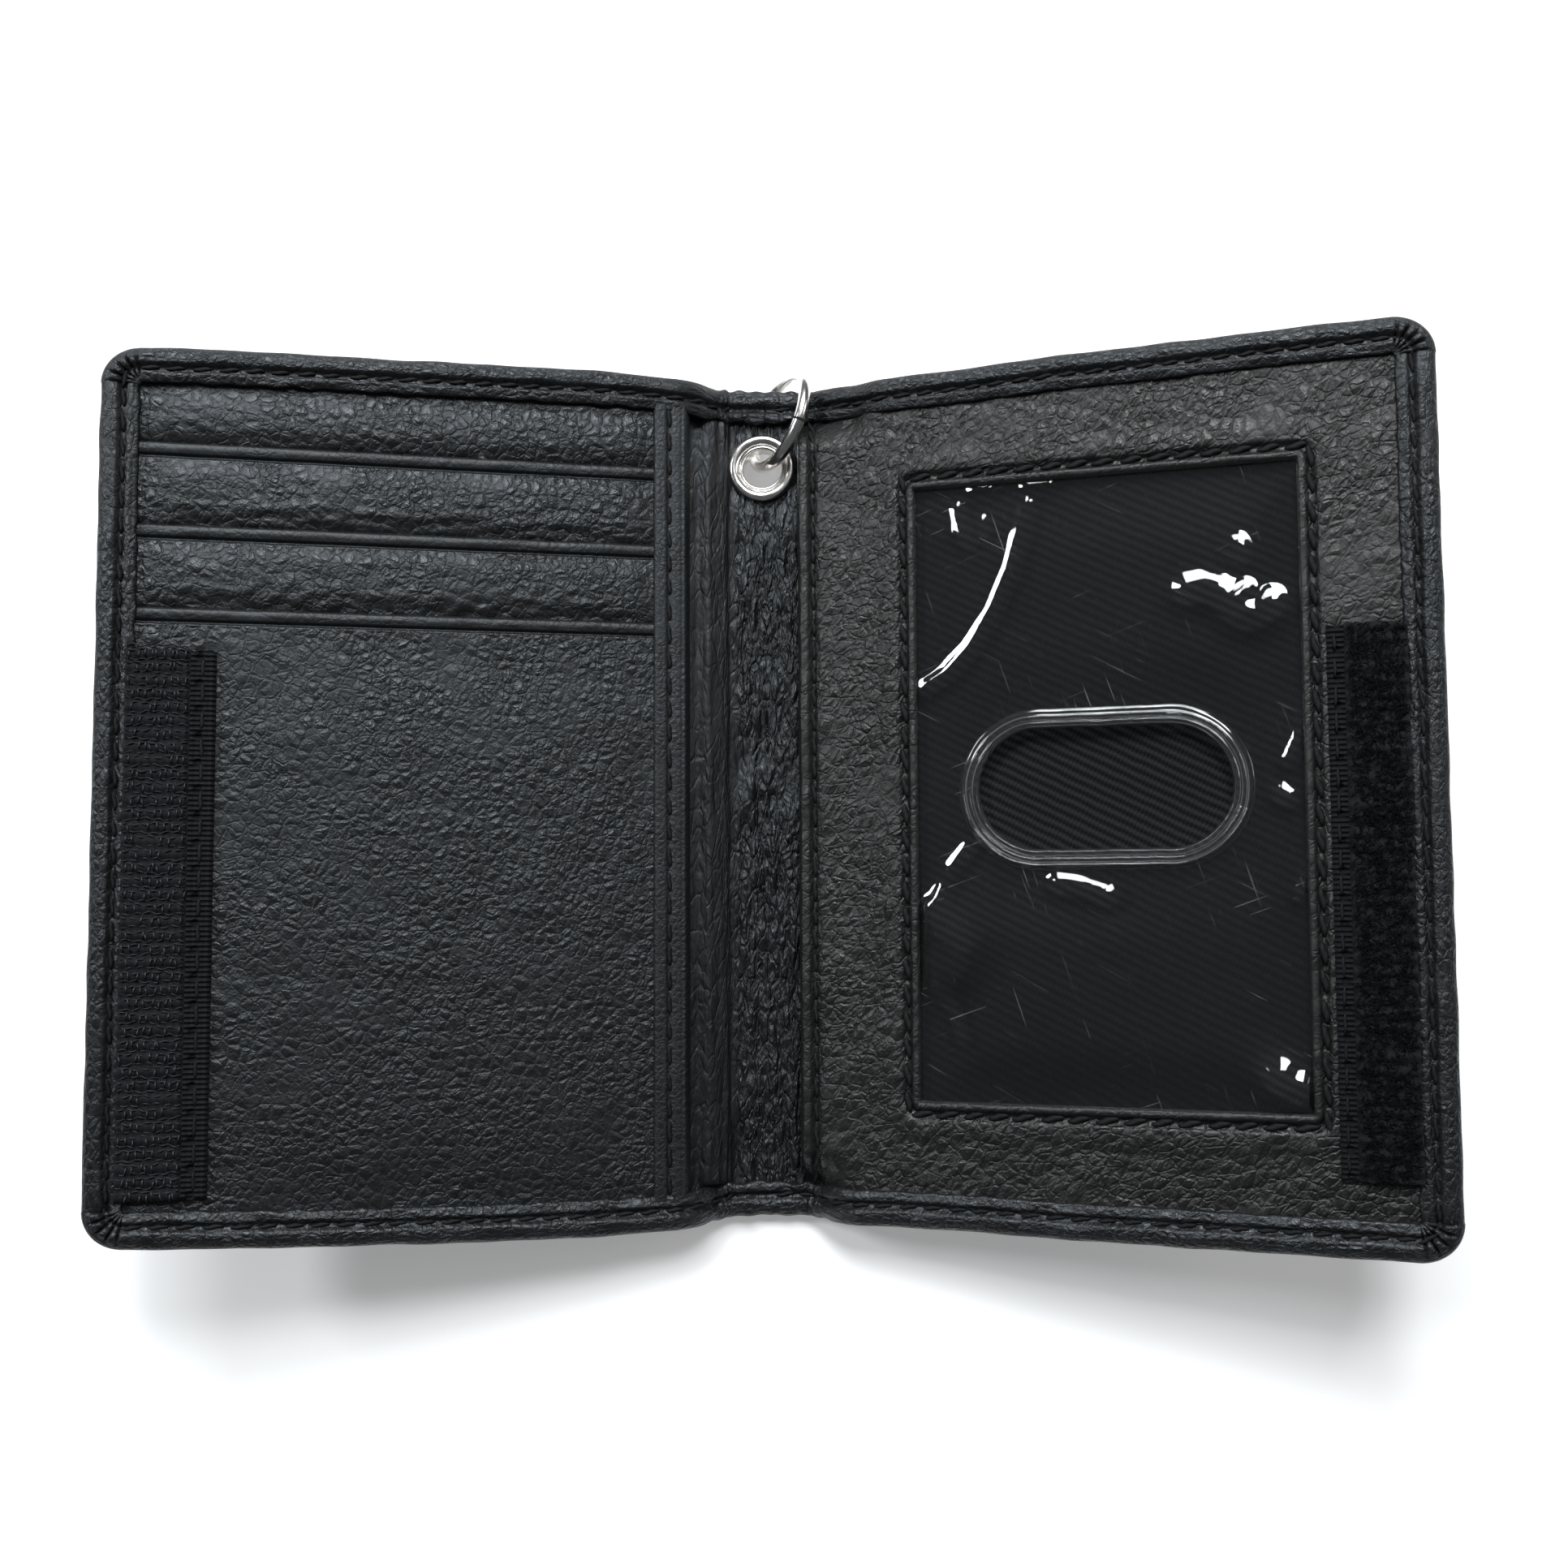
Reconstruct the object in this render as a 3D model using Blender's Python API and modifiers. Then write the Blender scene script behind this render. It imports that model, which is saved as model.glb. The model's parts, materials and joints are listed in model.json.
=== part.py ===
"""Open badge wallet: two panels that fold on a wide soft spine, and a jump ring in an eyelet.

Metres, +Z up. The wallet lies open with its inside up. X runs across both panels, Y runs along the
spine towards the eyelet. Everything is laid out in a wallet frame whose z = 0 is the height of the two
fold axes; each panel is drawn flat and its empty tilts it. The wallet rests on the lower end of its
spine and on the jump ring, and the last function sets that pose and puts the origin under its middle.
"""

import math

import bmesh
import bpy
from mathutils import Matrix, Vector

mm = 0.001

# Driving dimensions
PANEL_HEIGHT = 114.3 * mm
PANEL_WIDTH = 76.2 * mm  # fold axis to outer edge
FOLD_SPACING = 19.0 * mm  # between the two fold axes
CORNER_RADIUS = 5.0 * mm
REST_FOLD = math.radians(15.2)  # how far each panel stands up from flat
HEM_WIDTH = 4.7 * mm  # cover leather turned over onto the inside
HEM_SEAM = 3.0 * mm  # its stitches, in from the edge

# Layers, measured up from the back of a panel's cover
COVER = 1.0 * mm
BOARD = 0.5 * mm
LEATHER = 0.5 * mm
CLOTH = 0.3 * mm
VINYL = 0.3 * mm
GAP = 0.12 * mm  # between touching layers
HEM = 0.8 * mm
WALL = 0.9 * mm  # cover leather round the edge
AXIS_HEIGHT = 0.5 * mm  # of a fold axis, above the cover's back
FOLD_CLEAR = 2.0 * mm  # from a fold axis to a panel's solids
POCKET_TOP = 4.0 * mm  # top of the pocket leather
HEM_TOP = POCKET_TOP + GAP + HEM

# Spine: a shallow trough that hangs between the fold axes
SPINE_HEIGHT = 112.3 * mm
SPINE_SAG = 3.0 * mm
SPINE_FLAT = 11.0 * mm
SPINE_HALF = 7.9 * mm
SPINE_LINING = 0.8 * mm
SPINE_HEM_TOP = COVER + GAP + SPINE_LINING + GAP + HEM
SAG_CUTS = 4  # planes on each slope, so that the leather can bend there

# Left panel
SLOT_TOP = 43.9 * mm  # mouth of the upper card slot
SLOT_PITCH = 10.5 * mm
SLOT_COUNT = 3
SLOT_HIDDEN = 7.0 * mm  # how far a pocket runs on behind the next
BINDING = (2.2 * mm, 6.3 * mm)  # from the fold axis
BINDING_SEAM = 4.25 * mm
HOOK = (61.2 * mm, 71.4 * mm)
HOOK_Y = (-49.9 * mm, 17.5 * mm)
HOOK_SELVAGE = 3.0 * mm
HOOK_SEAM = 62.75 * mm
HOOK_HEIGHT = 1.3 * mm

# Right panel
WINDOW = (11.75 * mm, 59.7 * mm)
WINDOW_HALF = 39.8 * mm
WINDOW_RADIUS = 1.2 * mm
WINDOW_SEAM = 1.7 * mm  # out from the window's edge
CLEAR = (8.8 * mm, 62.8 * mm)
CLEAR_HALF = 43.4 * mm
CLEAR_BOTTOM = 3.05 * mm
THUMB_SLOT = (31.6 * mm, 15.4 * mm)
THUMB_CENTRE = 35.6 * mm
THUMB_RIM = 2.6 * mm
THUMB_RIM_HEIGHT = 0.9 * mm
LOOP = (62.6 * mm, 71.4 * mm)
LOOP_Y = (-47.4 * mm, 19.0 * mm)
LOOP_SELVAGE = 2.0 * mm
LOOP_SEAM = 63.5 * mm
LOOP_HEIGHT = 1.5 * mm
FLAP = (4.6 * mm, 7.8 * mm)  # free edge of the window leather, over the spine
FLAP_HALF = 51.2 * mm
FLAP_SEAM = 6.3 * mm

# Eyelet and ring
EYELET_X = -0.5 * mm
EYELET_Y = 45.1 * mm
EYELET_BORE = 2.65 * mm
EYELET_WALL = 0.35 * mm
EYELET_FLANGE = 4.6 * mm
EYELET_TOP = 0.73 * mm  # flange thickness
EYELET_ROLL = 0.5 * mm
WASHER = (3.14 * mm, 4.5 * mm)
WASHER_THICKNESS = 0.35 * mm
RING_RADIUS = 6.7 * mm
RING_WIRE = 0.85 * mm
RING_CENTRE = (1.80 * mm, 51.92 * mm, -2.27 * mm)
RING_HEADING = math.radians(17.7)  # of its swing axis, from +Y towards +X
RING_LEAN = math.radians(29.5)
RING_SLIT = 0.14 * mm
RING_SLIT_TURN = math.radians(62)
RING_RELIEF = (5.2 * mm, 43.5 * mm, 2.9 * mm)  # how far, from which y and from which height it is cleared

THREAD = 0.25 * mm  # radius
THREAD_CLEAR = 0.1 * mm
SMOOTH_ANGLE = math.radians(40)


def clear_scene():
    for thing in list(bpy.data.objects):
        bpy.data.objects.remove(thing, do_unlink=True)


def new_collection(name):
    collection = bpy.data.collections.new(name)
    bpy.context.scene.collection.children.link(collection)
    return collection


def make_material(name, colour, roughness, metallic=0.0, alpha=1.0):
    material = bpy.data.materials.new(name)
    material.use_nodes = True
    shader = material.node_tree.nodes["Principled BSDF"]
    shader.inputs["Base Color"].default_value = (*colour, 1.0)
    shader.inputs["Roughness"].default_value = roughness
    shader.inputs["Metallic"].default_value = metallic
    shader.inputs["Alpha"].default_value = alpha
    return material


# ---------------------------------------------------------------- outlines


def arc(cx, cy, radius, start, stop, steps):
    """Points on an arc, angles in degrees."""
    turns = (math.radians(start + (stop - start) * i / steps) for i in range(steps + 1))
    return [(cx + radius * math.cos(t), cy + radius * math.sin(t)) for t in turns]


def rounded(x0, x1, y0, y1, radii, steps=8):
    """A rectangle's outline, with the radii of its +x+y, -x+y, -x-y and +x-y corners."""
    corners = ((x1, y1, -1, -1, 0), (x0, y1, 1, -1, 90), (x0, y0, 1, 1, 180), (x1, y0, -1, 1, 270))
    points = []
    for (x, y, to_x, to_y, turn), radius in zip(corners, radii):
        if radius:
            points += arc(x + to_x * radius, y + to_y * radius, radius, turn, turn + 90, steps)
        else:
            points.append((x, y))
    return points


def panel_outline(side, start, end, half, radius):
    """An outline from one distance to another out from the fold, rounded at the panel's outer corners."""
    x0, x1 = sorted((side * start, side * end))
    radii = (radius, 0, 0, radius) if side > 0 else (0, radius, radius, 0)
    return rounded(x0, x1, -half, half, radii)


def strip_outline(side, span, y0, y1):
    x0, x1 = sorted((side * span[0], side * span[1]))
    return [(x0, y0), (x1, y0), (x1, y1), (x0, y1)]


# ---------------------------------------------------------------- solids


def curve_object(name, splines, dimensions):
    curve = bpy.data.curves.new(name, "CURVE")
    curve.dimensions = dimensions
    for points, closed in splines:
        spline = curve.splines.new("POLY")
        spline.points.add(len(points) - 1)
        for slot, point in zip(spline.points, points):
            slot.co = (*point, 0.0, 1.0) if len(point) == 2 else (*point, 1.0)
        spline.use_cyclic_u = closed
    made = bpy.data.objects.new(name, curve)
    bpy.context.scene.collection.objects.link(made)
    return made


def meshed(thing):
    """The object as a plain mesh object, its caps welded."""
    bpy.context.view_layer.update()
    graph = bpy.context.evaluated_depsgraph_get()
    mesh = bpy.data.meshes.new_from_object(thing.evaluated_get(graph))
    body = bmesh.new()
    body.from_mesh(mesh)
    bmesh.ops.remove_doubles(body, verts=body.verts, dist=1e-6)
    bmesh.ops.recalc_face_normals(body, faces=body.faces)
    body.to_mesh(mesh)
    body.free()
    name, place = thing.name, thing.matrix_world.copy()
    bpy.data.objects.remove(thing, do_unlink=True)
    made = bpy.data.objects.new(name, mesh)
    made.matrix_world = place
    bpy.context.scene.collection.objects.link(made)
    return made


def slab(name, outlines, bottom, top):
    """A flat solid: the first outline, less the others, from one height to another."""
    flat = curve_object(name, [(outline, True) for outline in outlines], "2D")
    flat.data.fill_mode = "BOTH"
    flat.data.extrude = (top - bottom) / 2
    made = meshed(flat)
    made.data.transform(Matrix.Translation((0, 0, (bottom + top) / 2)))
    return made


def extruded_across(name, profile, x0, x1):
    """A profile drawn in Y and Z, run from one x to another."""
    made = slab(name, [profile], 0, x1 - x0)
    made.data.transform(Matrix(((0, 0, 1, x0), (1, 0, 0, 0), (0, 1, 0, 0), (0, 0, 0, 1))))
    return made


def extruded_along(name, profile, y0, y1):
    """A profile drawn in X and Z, run from one y to another."""
    made = slab(name, [profile], 0, y1 - y0)
    made.data.transform(Matrix(((1, 0, 0, 0), (0, 0, -1, y1), (0, 1, 0, 0), (0, 0, 0, 1))))
    return made


def turned(name, profile, steps=40):
    """A closed profile of (radius, height) turned about Z."""
    mesh = bpy.data.meshes.new(name)
    count = len(profile)
    edges = [(i, (i + 1) % count) for i in range(count)]
    mesh.from_pydata([(radius, 0, height) for radius, height in profile], edges, [])
    made = bpy.data.objects.new(name, mesh)
    bpy.context.scene.collection.objects.link(made)
    screw = made.modifiers.new("Turn", "SCREW")
    screw.steps = screw.render_steps = steps
    screw.use_merge_vertices = True
    screw.merge_threshold = 1e-6
    return made


def thread_tube(name, points, closed=False):
    line = curve_object(name, [(points, closed)], "3D")
    line.data.bevel_depth = THREAD
    line.data.bevel_resolution = 1
    line.data.use_fill_caps = True
    return meshed(line)


def rounded_edges(thing, width, segments=3):
    bevel = thing.modifiers.new("Round", "BEVEL")
    bevel.width = width
    bevel.segments = segments
    bevel.limit_method = "ANGLE"
    bevel.angle_limit = SMOOTH_ANGLE


def combine(thing, other, operation):
    """Joins the other solid to the thing or cuts it away, and hides it with the cutters."""
    other.hide_render = True
    other.display_type = "WIRE"
    for home in list(other.users_collection):
        home.objects.unlink(other)
    cutters.objects.link(other)
    other.parent = thing
    boolean = thing.modifiers.new(other.name, "BOOLEAN")
    boolean.operation = operation
    boolean.solver = "EXACT"
    boolean.object = other


def cut(thing, cutter):
    combine(thing, cutter, "DIFFERENCE")


def sag(x):
    """How far the spine's leather hangs below the line between the fold axes."""
    t = (abs(x) - SPINE_FLAT / 2) / (FOLD_SPACING / 2 - SPINE_FLAT / 2)
    t = min(max(t, 0.0), 1.0)
    return -SPINE_SAG * (1 - t * t * (3 - 2 * t))


def sagged(thing):
    """Cuts the flat solid across its slopes and lets it down into the trough."""
    body = bmesh.new()
    body.from_mesh(thing.data)
    slope = SPINE_HALF - SPINE_FLAT / 2
    for side in (-1, 1):
        for i in range(SAG_CUTS):
            x = side * (SPINE_FLAT / 2 + slope * i / SAG_CUTS)
            faces = body.verts[:] + body.edges[:] + body.faces[:]
            bmesh.ops.bisect_plane(body, geom=faces, dist=1e-7, plane_co=(x, 0, 0), plane_no=(1, 0, 0))
    for vert in body.verts:
        vert.co.z += sag(vert.co.x)
    bmesh.ops.triangulate(body, faces=body.faces)
    body.to_mesh(thing.data)
    body.free()


def finish_part(thing, name, material, parent):
    thing.name = thing.data.name = name
    thing.data.materials.clear()
    thing.data.materials.append(material)
    for home in list(thing.users_collection):
        home.objects.unlink(thing)
    parts.objects.link(thing)
    thing.parent = parent
    thing.data.shade_smooth()
    thing.data.set_sharp_from_angle(angle=SMOOTH_ANGLE)
    return thing


def empty(name, location, parent=None):
    made = bpy.data.objects.new(name, None)
    made.empty_display_size = 0.01
    made.location = location
    made.parent = parent
    parts.objects.link(made)
    return made


# ---------------------------------------------------------------- panels


def layer(name, side, material, parent, bottom, thickness, outlines):
    """A flat layer of a panel. Heights are from the back of the cover."""
    low = bottom - AXIS_HEIGHT
    return finish_part(slab(name, outlines, low, low + thickness), name, material, parent)


def panel_cover(name, side, parent):
    """The outer leather: a plate whose edge stands up and turns over as the hem."""
    half = PANEL_HEIGHT / 2
    reach = -4 * mm  # past the fold, where the trimmer cuts it off
    outline = panel_outline(side, reach, PANEL_WIDTH, half, CORNER_RADIUS)
    cover = slab(name, [outline], -AXIS_HEIGHT, HEM_TOP - AXIS_HEIGHT)
    rounded_edges(cover, 1.1 * mm)
    inner = panel_outline(side, reach * 2, PANEL_WIDTH - WALL, half - WALL, CORNER_RADIUS - WALL)
    opening = panel_outline(side, reach * 2, PANEL_WIDTH - HEM_WIDTH, half - HEM_WIDTH, 1.0 * mm)
    cut(cover, slab(name + "_cavity", [inner], COVER - AXIS_HEIGHT, POCKET_TOP + GAP - AXIS_HEIGHT))
    cut(cover, slab(name + "_opening", [opening], POCKET_TOP - AXIS_HEIGHT, HEM_TOP + 2 * mm))
    trim = strip_outline(side, (reach * 3, FOLD_CLEAR), -half * 1.2, half * 1.2)
    cut(cover, slab(name + "_trimmer", [trim], -5 * mm, 10 * mm))
    return finish_part(cover, name, cover_leather, parent)


def inner_outline(side, start, inset=0.0):
    """The largest layer that the cover's turned edge takes."""
    edge = WALL + 2 * GAP + inset
    end, half = PANEL_WIDTH - edge, PANEL_HEIGHT / 2 - edge
    return panel_outline(side, start, end, half, CORNER_RADIUS - WALL)


def hem_seam(name, side, parent, top_start):
    """One thread round a panel's three free edges."""
    end, half = PANEL_WIDTH - HEM_SEAM, PANEL_HEIGHT / 2 - HEM_SEAM
    height = HEM_TOP - AXIS_HEIGHT + THREAD_CLEAR + THREAD
    bottom_start = FOLD_CLEAR + 0.4 * mm
    top = arc(end - CORNER_RADIUS / 2, half - CORNER_RADIUS / 2, CORNER_RADIUS / 2, 90, 0, 5)
    bottom = [(x, -y) for x, y in reversed(top)]
    path = [(top_start, half), *top, *bottom, (bottom_start, -half)]
    points = [(side * x, y, height) for x, y in path]
    finish_part(thread_tube(name, points), name, thread_black, parent)


def straight_seam(name, x, y0, y1, surface, parent):
    """A straight thread along Y, on a surface at this height from the cover's back."""
    height = surface - AXIS_HEIGHT + THREAD_CLEAR + THREAD
    finish_part(thread_tube(name, [(x, y0, height), (x, y1, height)]), name, thread_black, parent)


def fastener(name, side, material, parent, span, y_span, bottom, height, selvage):
    """A hook or loop strip: the pile, and the lower woven selvage that is sewn down."""
    low = bottom - AXIS_HEIGHT
    step = low + 0.6 * mm
    profile = [
        (side * span[0], low),
        (side * span[1], low),
        (side * span[1], low + height),
        (side * (span[0] + selvage), low + height),
        (side * (span[0] + selvage), step),
        (side * span[0], step),
    ]
    return finish_part(extruded_along(name, profile, *y_span), name, material, parent)


def left_panel(parent):
    side = -1
    panel_cover("cover_left", side, parent)
    board = COVER + GAP
    backing = board + BOARD + GAP
    first = backing + LEATHER + GAP
    add = (side, FOLD_CLEAR + 0.2 * mm)
    layer("stiffener_left", side, board_grey, parent, board, BOARD, [inner_outline(*add, 0.3 * mm)])
    layer("card_backing", side, inside_leather, parent, backing, LEATHER, [inner_outline(*add)])

    end = PANEL_WIDTH - WALL - 2 * GAP
    bottom_edge = -(PANEL_HEIGHT / 2 - WALL - 2 * GAP)
    lining_y = (bottom_edge + 4 * mm, SLOT_TOP - SLOT_COUNT * SLOT_PITCH)
    cloth = strip_outline(side, (add[1], end - 3 * mm), *lining_y)
    layer("card_pocket_lining", side, lining_cloth, parent, first, CLOTH, [cloth])

    for i, name in enumerate(("card_pocket_top", "card_pocket_middle")):
        mouth = SLOT_TOP - i * SLOT_PITCH
        tongue = strip_outline(side, (add[1], end), mouth - SLOT_PITCH - SLOT_HIDDEN, mouth)
        layer(name, side, inside_leather, parent, first + i * (LEATHER + GAP), LEATHER, [tongue])

    mouth = SLOT_TOP - 2 * SLOT_PITCH
    x0 = side * end
    corner = CORNER_RADIUS - WALL
    front = rounded(x0, side * add[1], bottom_edge, mouth, (0, 0, corner, 0))
    layer("card_pocket_front", side, inside_leather, parent, POCKET_TOP - 0.4 * mm, 0.4 * mm, [front])

    on_pocket = POCKET_TOP + GAP
    half = PANEL_HEIGHT / 2 - HEM_WIDTH - 0.15 * mm
    edge = strip_outline(side, BINDING, -half, half)
    layer("left_edge_binding", side, inside_leather, parent, on_pocket, LEATHER, [edge])
    seam_end = half - 0.4 * mm
    straight_seam("thread_binding", side * BINDING_SEAM, -seam_end, seam_end, on_pocket + LEATHER, parent)

    hook = (HOOK, HOOK_Y, on_pocket, HOOK_HEIGHT, HOOK_SELVAGE)
    fastener("hook_strip", side, hook_black, parent, *hook)
    low, high = HOOK_Y[0] + 0.8 * mm, HOOK_Y[1] - 0.8 * mm
    straight_seam("thread_hook_strip", side * HOOK_SEAM, low, high, on_pocket + 0.6 * mm, parent)
    hem_seam("thread_left_hem", side, parent, FOLD_CLEAR + 0.4 * mm)


def oval(length, width, steps=14):
    """A slot's outline with round ends, about THUMB_CENTRE."""
    radius = width / 2
    reach = length / 2 - radius
    right = arc(THUMB_CENTRE + reach, 0, radius, -90, 90, steps)
    return right + arc(THUMB_CENTRE - reach, 0, radius, 90, 270, steps)


def clear_window(parent):
    """The vinyl sheet, its thumb slot and the rim moulded round the slot, as one solid."""
    low = CLEAR_BOTTOM - AXIS_HEIGHT
    sheet_outline = rounded(*CLEAR, -CLEAR_HALF, CLEAR_HALF, (2 * mm,) * 4, 4)
    sheet = slab("clear_window", [sheet_outline], low, low + VINYL)
    rim_size = (THUMB_SLOT[0] + 2 * THUMB_RIM, THUMB_SLOT[1] + 2 * THUMB_RIM)
    rim = slab("thumb_rim", [oval(*rim_size)], low + VINYL / 2, low + VINYL + THUMB_RIM_HEIGHT)
    rounded_edges(rim, 0.4 * mm, 2)
    combine(sheet, rim, "UNION")
    cut(sheet, slab("thumb_opening", [oval(*THUMB_SLOT)], low - 3 * mm, low + 4 * mm))
    return finish_part(sheet, "clear_window", clear_vinyl, parent)


def ring_relief(name):
    """Clears the soft corner by the eyelet, which gives way to the ring when the wallet is shut."""
    end, low_y, low_z = RING_RELIEF
    return slab(name, [strip_outline(1, (-end, end), low_y, PANEL_HEIGHT)], low_z, 10 * mm)


def right_panel(parent):
    side = 1
    cut(panel_cover("cover_right", side, parent), ring_relief("cover_right_relief"))
    board = COVER + GAP
    lining = board + BOARD + GAP
    start = FOLD_CLEAR + 0.2 * mm
    layer("stiffener_right", side, board_grey, parent, board, BOARD, [inner_outline(side, start, 0.3 * mm)])
    layer("window_lining", side, lining_cloth, parent, lining, CLOTH, [inner_outline(side, start)])
    clear_window(parent)

    hole = rounded(*WINDOW, -WINDOW_HALF, WINDOW_HALF, (WINDOW_RADIUS,) * 4, 4)
    outlines = [inner_outline(side, start), hole]
    frame = layer("window_frame", side, inside_leather, parent, POCKET_TOP - LEATHER, LEATHER, outlines)
    cut(frame, ring_relief("window_frame_relief"))

    loop = (LOOP, LOOP_Y, POCKET_TOP + GAP, LOOP_HEIGHT, LOOP_SELVAGE)
    fastener("loop_strip", side, loop_black, parent, *loop)
    low, high = LOOP_Y[0] + 0.8 * mm, LOOP_Y[1] - 0.8 * mm
    straight_seam("thread_loop_strip", LOOP_SEAM, low, high, POCKET_TOP + GAP + 0.6 * mm, parent)

    x0, x1 = WINDOW[0] - WINDOW_SEAM, WINDOW[1] + WINDOW_SEAM
    half = WINDOW_HALF + WINDOW_SEAM
    height = POCKET_TOP - AXIS_HEIGHT + THREAD_CLEAR + THREAD
    seam = [(x, y, height) for x, y in rounded(x0, x1, -half, half, (0.8 * mm,) * 4, 3)]
    finish_part(thread_tube("thread_window", seam, True), "thread_window", thread_black, parent)
    hem_seam("thread_right_hem", side, parent, RING_RELIEF[0] + 0.4 * mm)


# ---------------------------------------------------------------- spine and hardware


def spine_hem_profile():
    """The spine cover in Y and Z: a plate whose two ends stand up and turn over."""
    end, lip = SPINE_HEIGHT / 2, SPINE_HEIGHT / 2 - HEM_WIDTH
    under = SPINE_HEM_TOP - HEM
    soft = 1.0 * mm
    right = [
        *arc(end - soft, soft, soft, -90, 0, 4),
        *arc(end - soft, SPINE_HEM_TOP - soft, soft, 0, 90, 4),
        (lip, SPINE_HEM_TOP),
        (lip, under),
        (end - WALL, under),
        (end - WALL, COVER),
    ]
    return right + [(-y, z) for y, z in reversed(right)]


def eyelet_hole(name):
    radius = WASHER[0] - 0.02 * mm
    hole = slab(name, [arc(EYELET_X, EYELET_Y, radius, 0, 351, 39)], -8 * mm, 6 * mm)
    return hole


def spine(parent):
    base = -AXIS_HEIGHT
    cover = extruded_across("cover_spine", spine_hem_profile(), -SPINE_HALF, SPINE_HALF)
    cover.data.transform(Matrix.Translation((0, 0, base)))
    sagged(cover)
    cut(cover, eyelet_hole("cover_spine_hole"))
    finish_part(cover, "cover_spine", cover_leather, parent)

    half = SPINE_HEIGHT / 2 - WALL - 0.3 * mm
    low = base + COVER + GAP
    lining = slab("spine_lining", [strip_outline(1, (-SPINE_HALF, SPINE_HALF), -half, half)], low, low + SPINE_LINING)
    sagged(lining)
    cut(lining, eyelet_hole("spine_lining_hole"))
    finish_part(lining, "spine_lining", inside_leather, parent)

    low += SPINE_LINING + GAP
    flap = slab("window_leather_edge", [strip_outline(1, FLAP, -FLAP_HALF, FLAP_HALF)], low, low + 0.6 * mm)
    sagged(flap)
    finish_part(flap, "window_leather_edge", inside_leather, parent)
    height = low + 0.6 * mm + sag(FLAP_SEAM) + THREAD_CLEAR + THREAD + 0.12 * mm
    line = [(FLAP_SEAM, y, height) for y in (-FLAP_HALF + mm, FLAP_HALF - mm)]
    finish_part(thread_tube("thread_window_edge", line), "thread_window_edge", thread_black, parent)

    reach = 6.4 * mm
    for name, end, start in (("thread_spine_bottom", -1, -reach), ("thread_spine_top", 1, -reach)):
        y = end * (SPINE_HEIGHT / 2 - HEM_SEAM)
        stop = reach if end < 0 else -1.0 * mm  # the ring lies over the rest of the top hem
        xs = [start + (stop - start) * i / 8 for i in range(9)]
        top = base + SPINE_HEM_TOP + THREAD_CLEAR + THREAD + 0.05 * mm
        seam = [(x, y, top + sag(x)) for x in xs]
        finish_part(thread_tube(name, seam), name, thread_black, parent)


def eyelet(parent):
    """The flanged barrel goes through from the inside, and its end is rolled over a washer behind."""
    back = -AXIS_HEIGHT - SPINE_SAG
    face = back + COVER + GAP + SPINE_LINING + 0.1 * mm
    washer_top = back - 0.1 * mm
    washer_low = washer_top - WASHER_THICKNESS
    roll_top, roll_low = washer_low - 0.08 * mm, washer_low - 0.2 * mm
    bore, tube, rim = EYELET_BORE, EYELET_BORE + EYELET_WALL, EYELET_FLANGE
    dome = [(rim - 0.1 * mm, face + 0.35 * mm), (rim - 0.5 * mm, face + 0.62 * mm)]
    crest = [(rim - 1.1 * mm, face + EYELET_TOP), (bore + 0.5 * mm, face + 0.62 * mm)]
    profile = [
        (bore, face + 0.2 * mm),
        (bore, roll_low),
        (tube + EYELET_ROLL, roll_low),
        (tube + EYELET_ROLL, roll_top),
        (tube, roll_top),
        (tube, face),
        (rim, face),
        *dome,
        *crest,
        (bore + 0.12 * mm, face + 0.45 * mm),
    ]
    barrel = turned("eyelet_barrel", list(reversed(profile)))
    barrel.location = (EYELET_X, EYELET_Y, 0)
    finish_part(barrel, "eyelet_barrel", nickel, parent)
    inner, outer = WASHER
    ring = [(inner, washer_top), (outer, washer_top), (outer, washer_low), (inner, washer_low)]
    washer = turned("eyelet_washer", ring)
    washer.location = (EYELET_X, EYELET_Y, 0)
    finish_part(washer, "eyelet_washer", nickel, parent)


def jump_ring(parent):
    """A wire ring with a fine slit where its ends meet. Its empty's Y is the axis that it swings about."""
    bpy.ops.mesh.primitive_torus_add(
        major_segments=56, minor_segments=12, major_radius=RING_RADIUS, minor_radius=RING_WIRE
    )
    ring = bpy.context.object
    ring.name = "jump_ring"
    ring.data.transform(Matrix.Rotation(math.radians(90), 4, "Y"))
    slit = slab("ring_slit", [strip_outline(1, (-3 * mm, 3 * mm), 4 * mm, 9 * mm)], -RING_SLIT / 2, RING_SLIT / 2)
    slit.data.transform(Matrix.Rotation(RING_SLIT_TURN, 4, "X"))
    cut(ring, slit)
    finish_part(ring, "jump_ring", nickel, parent)


# ---------------------------------------------------------------- pose


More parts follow.
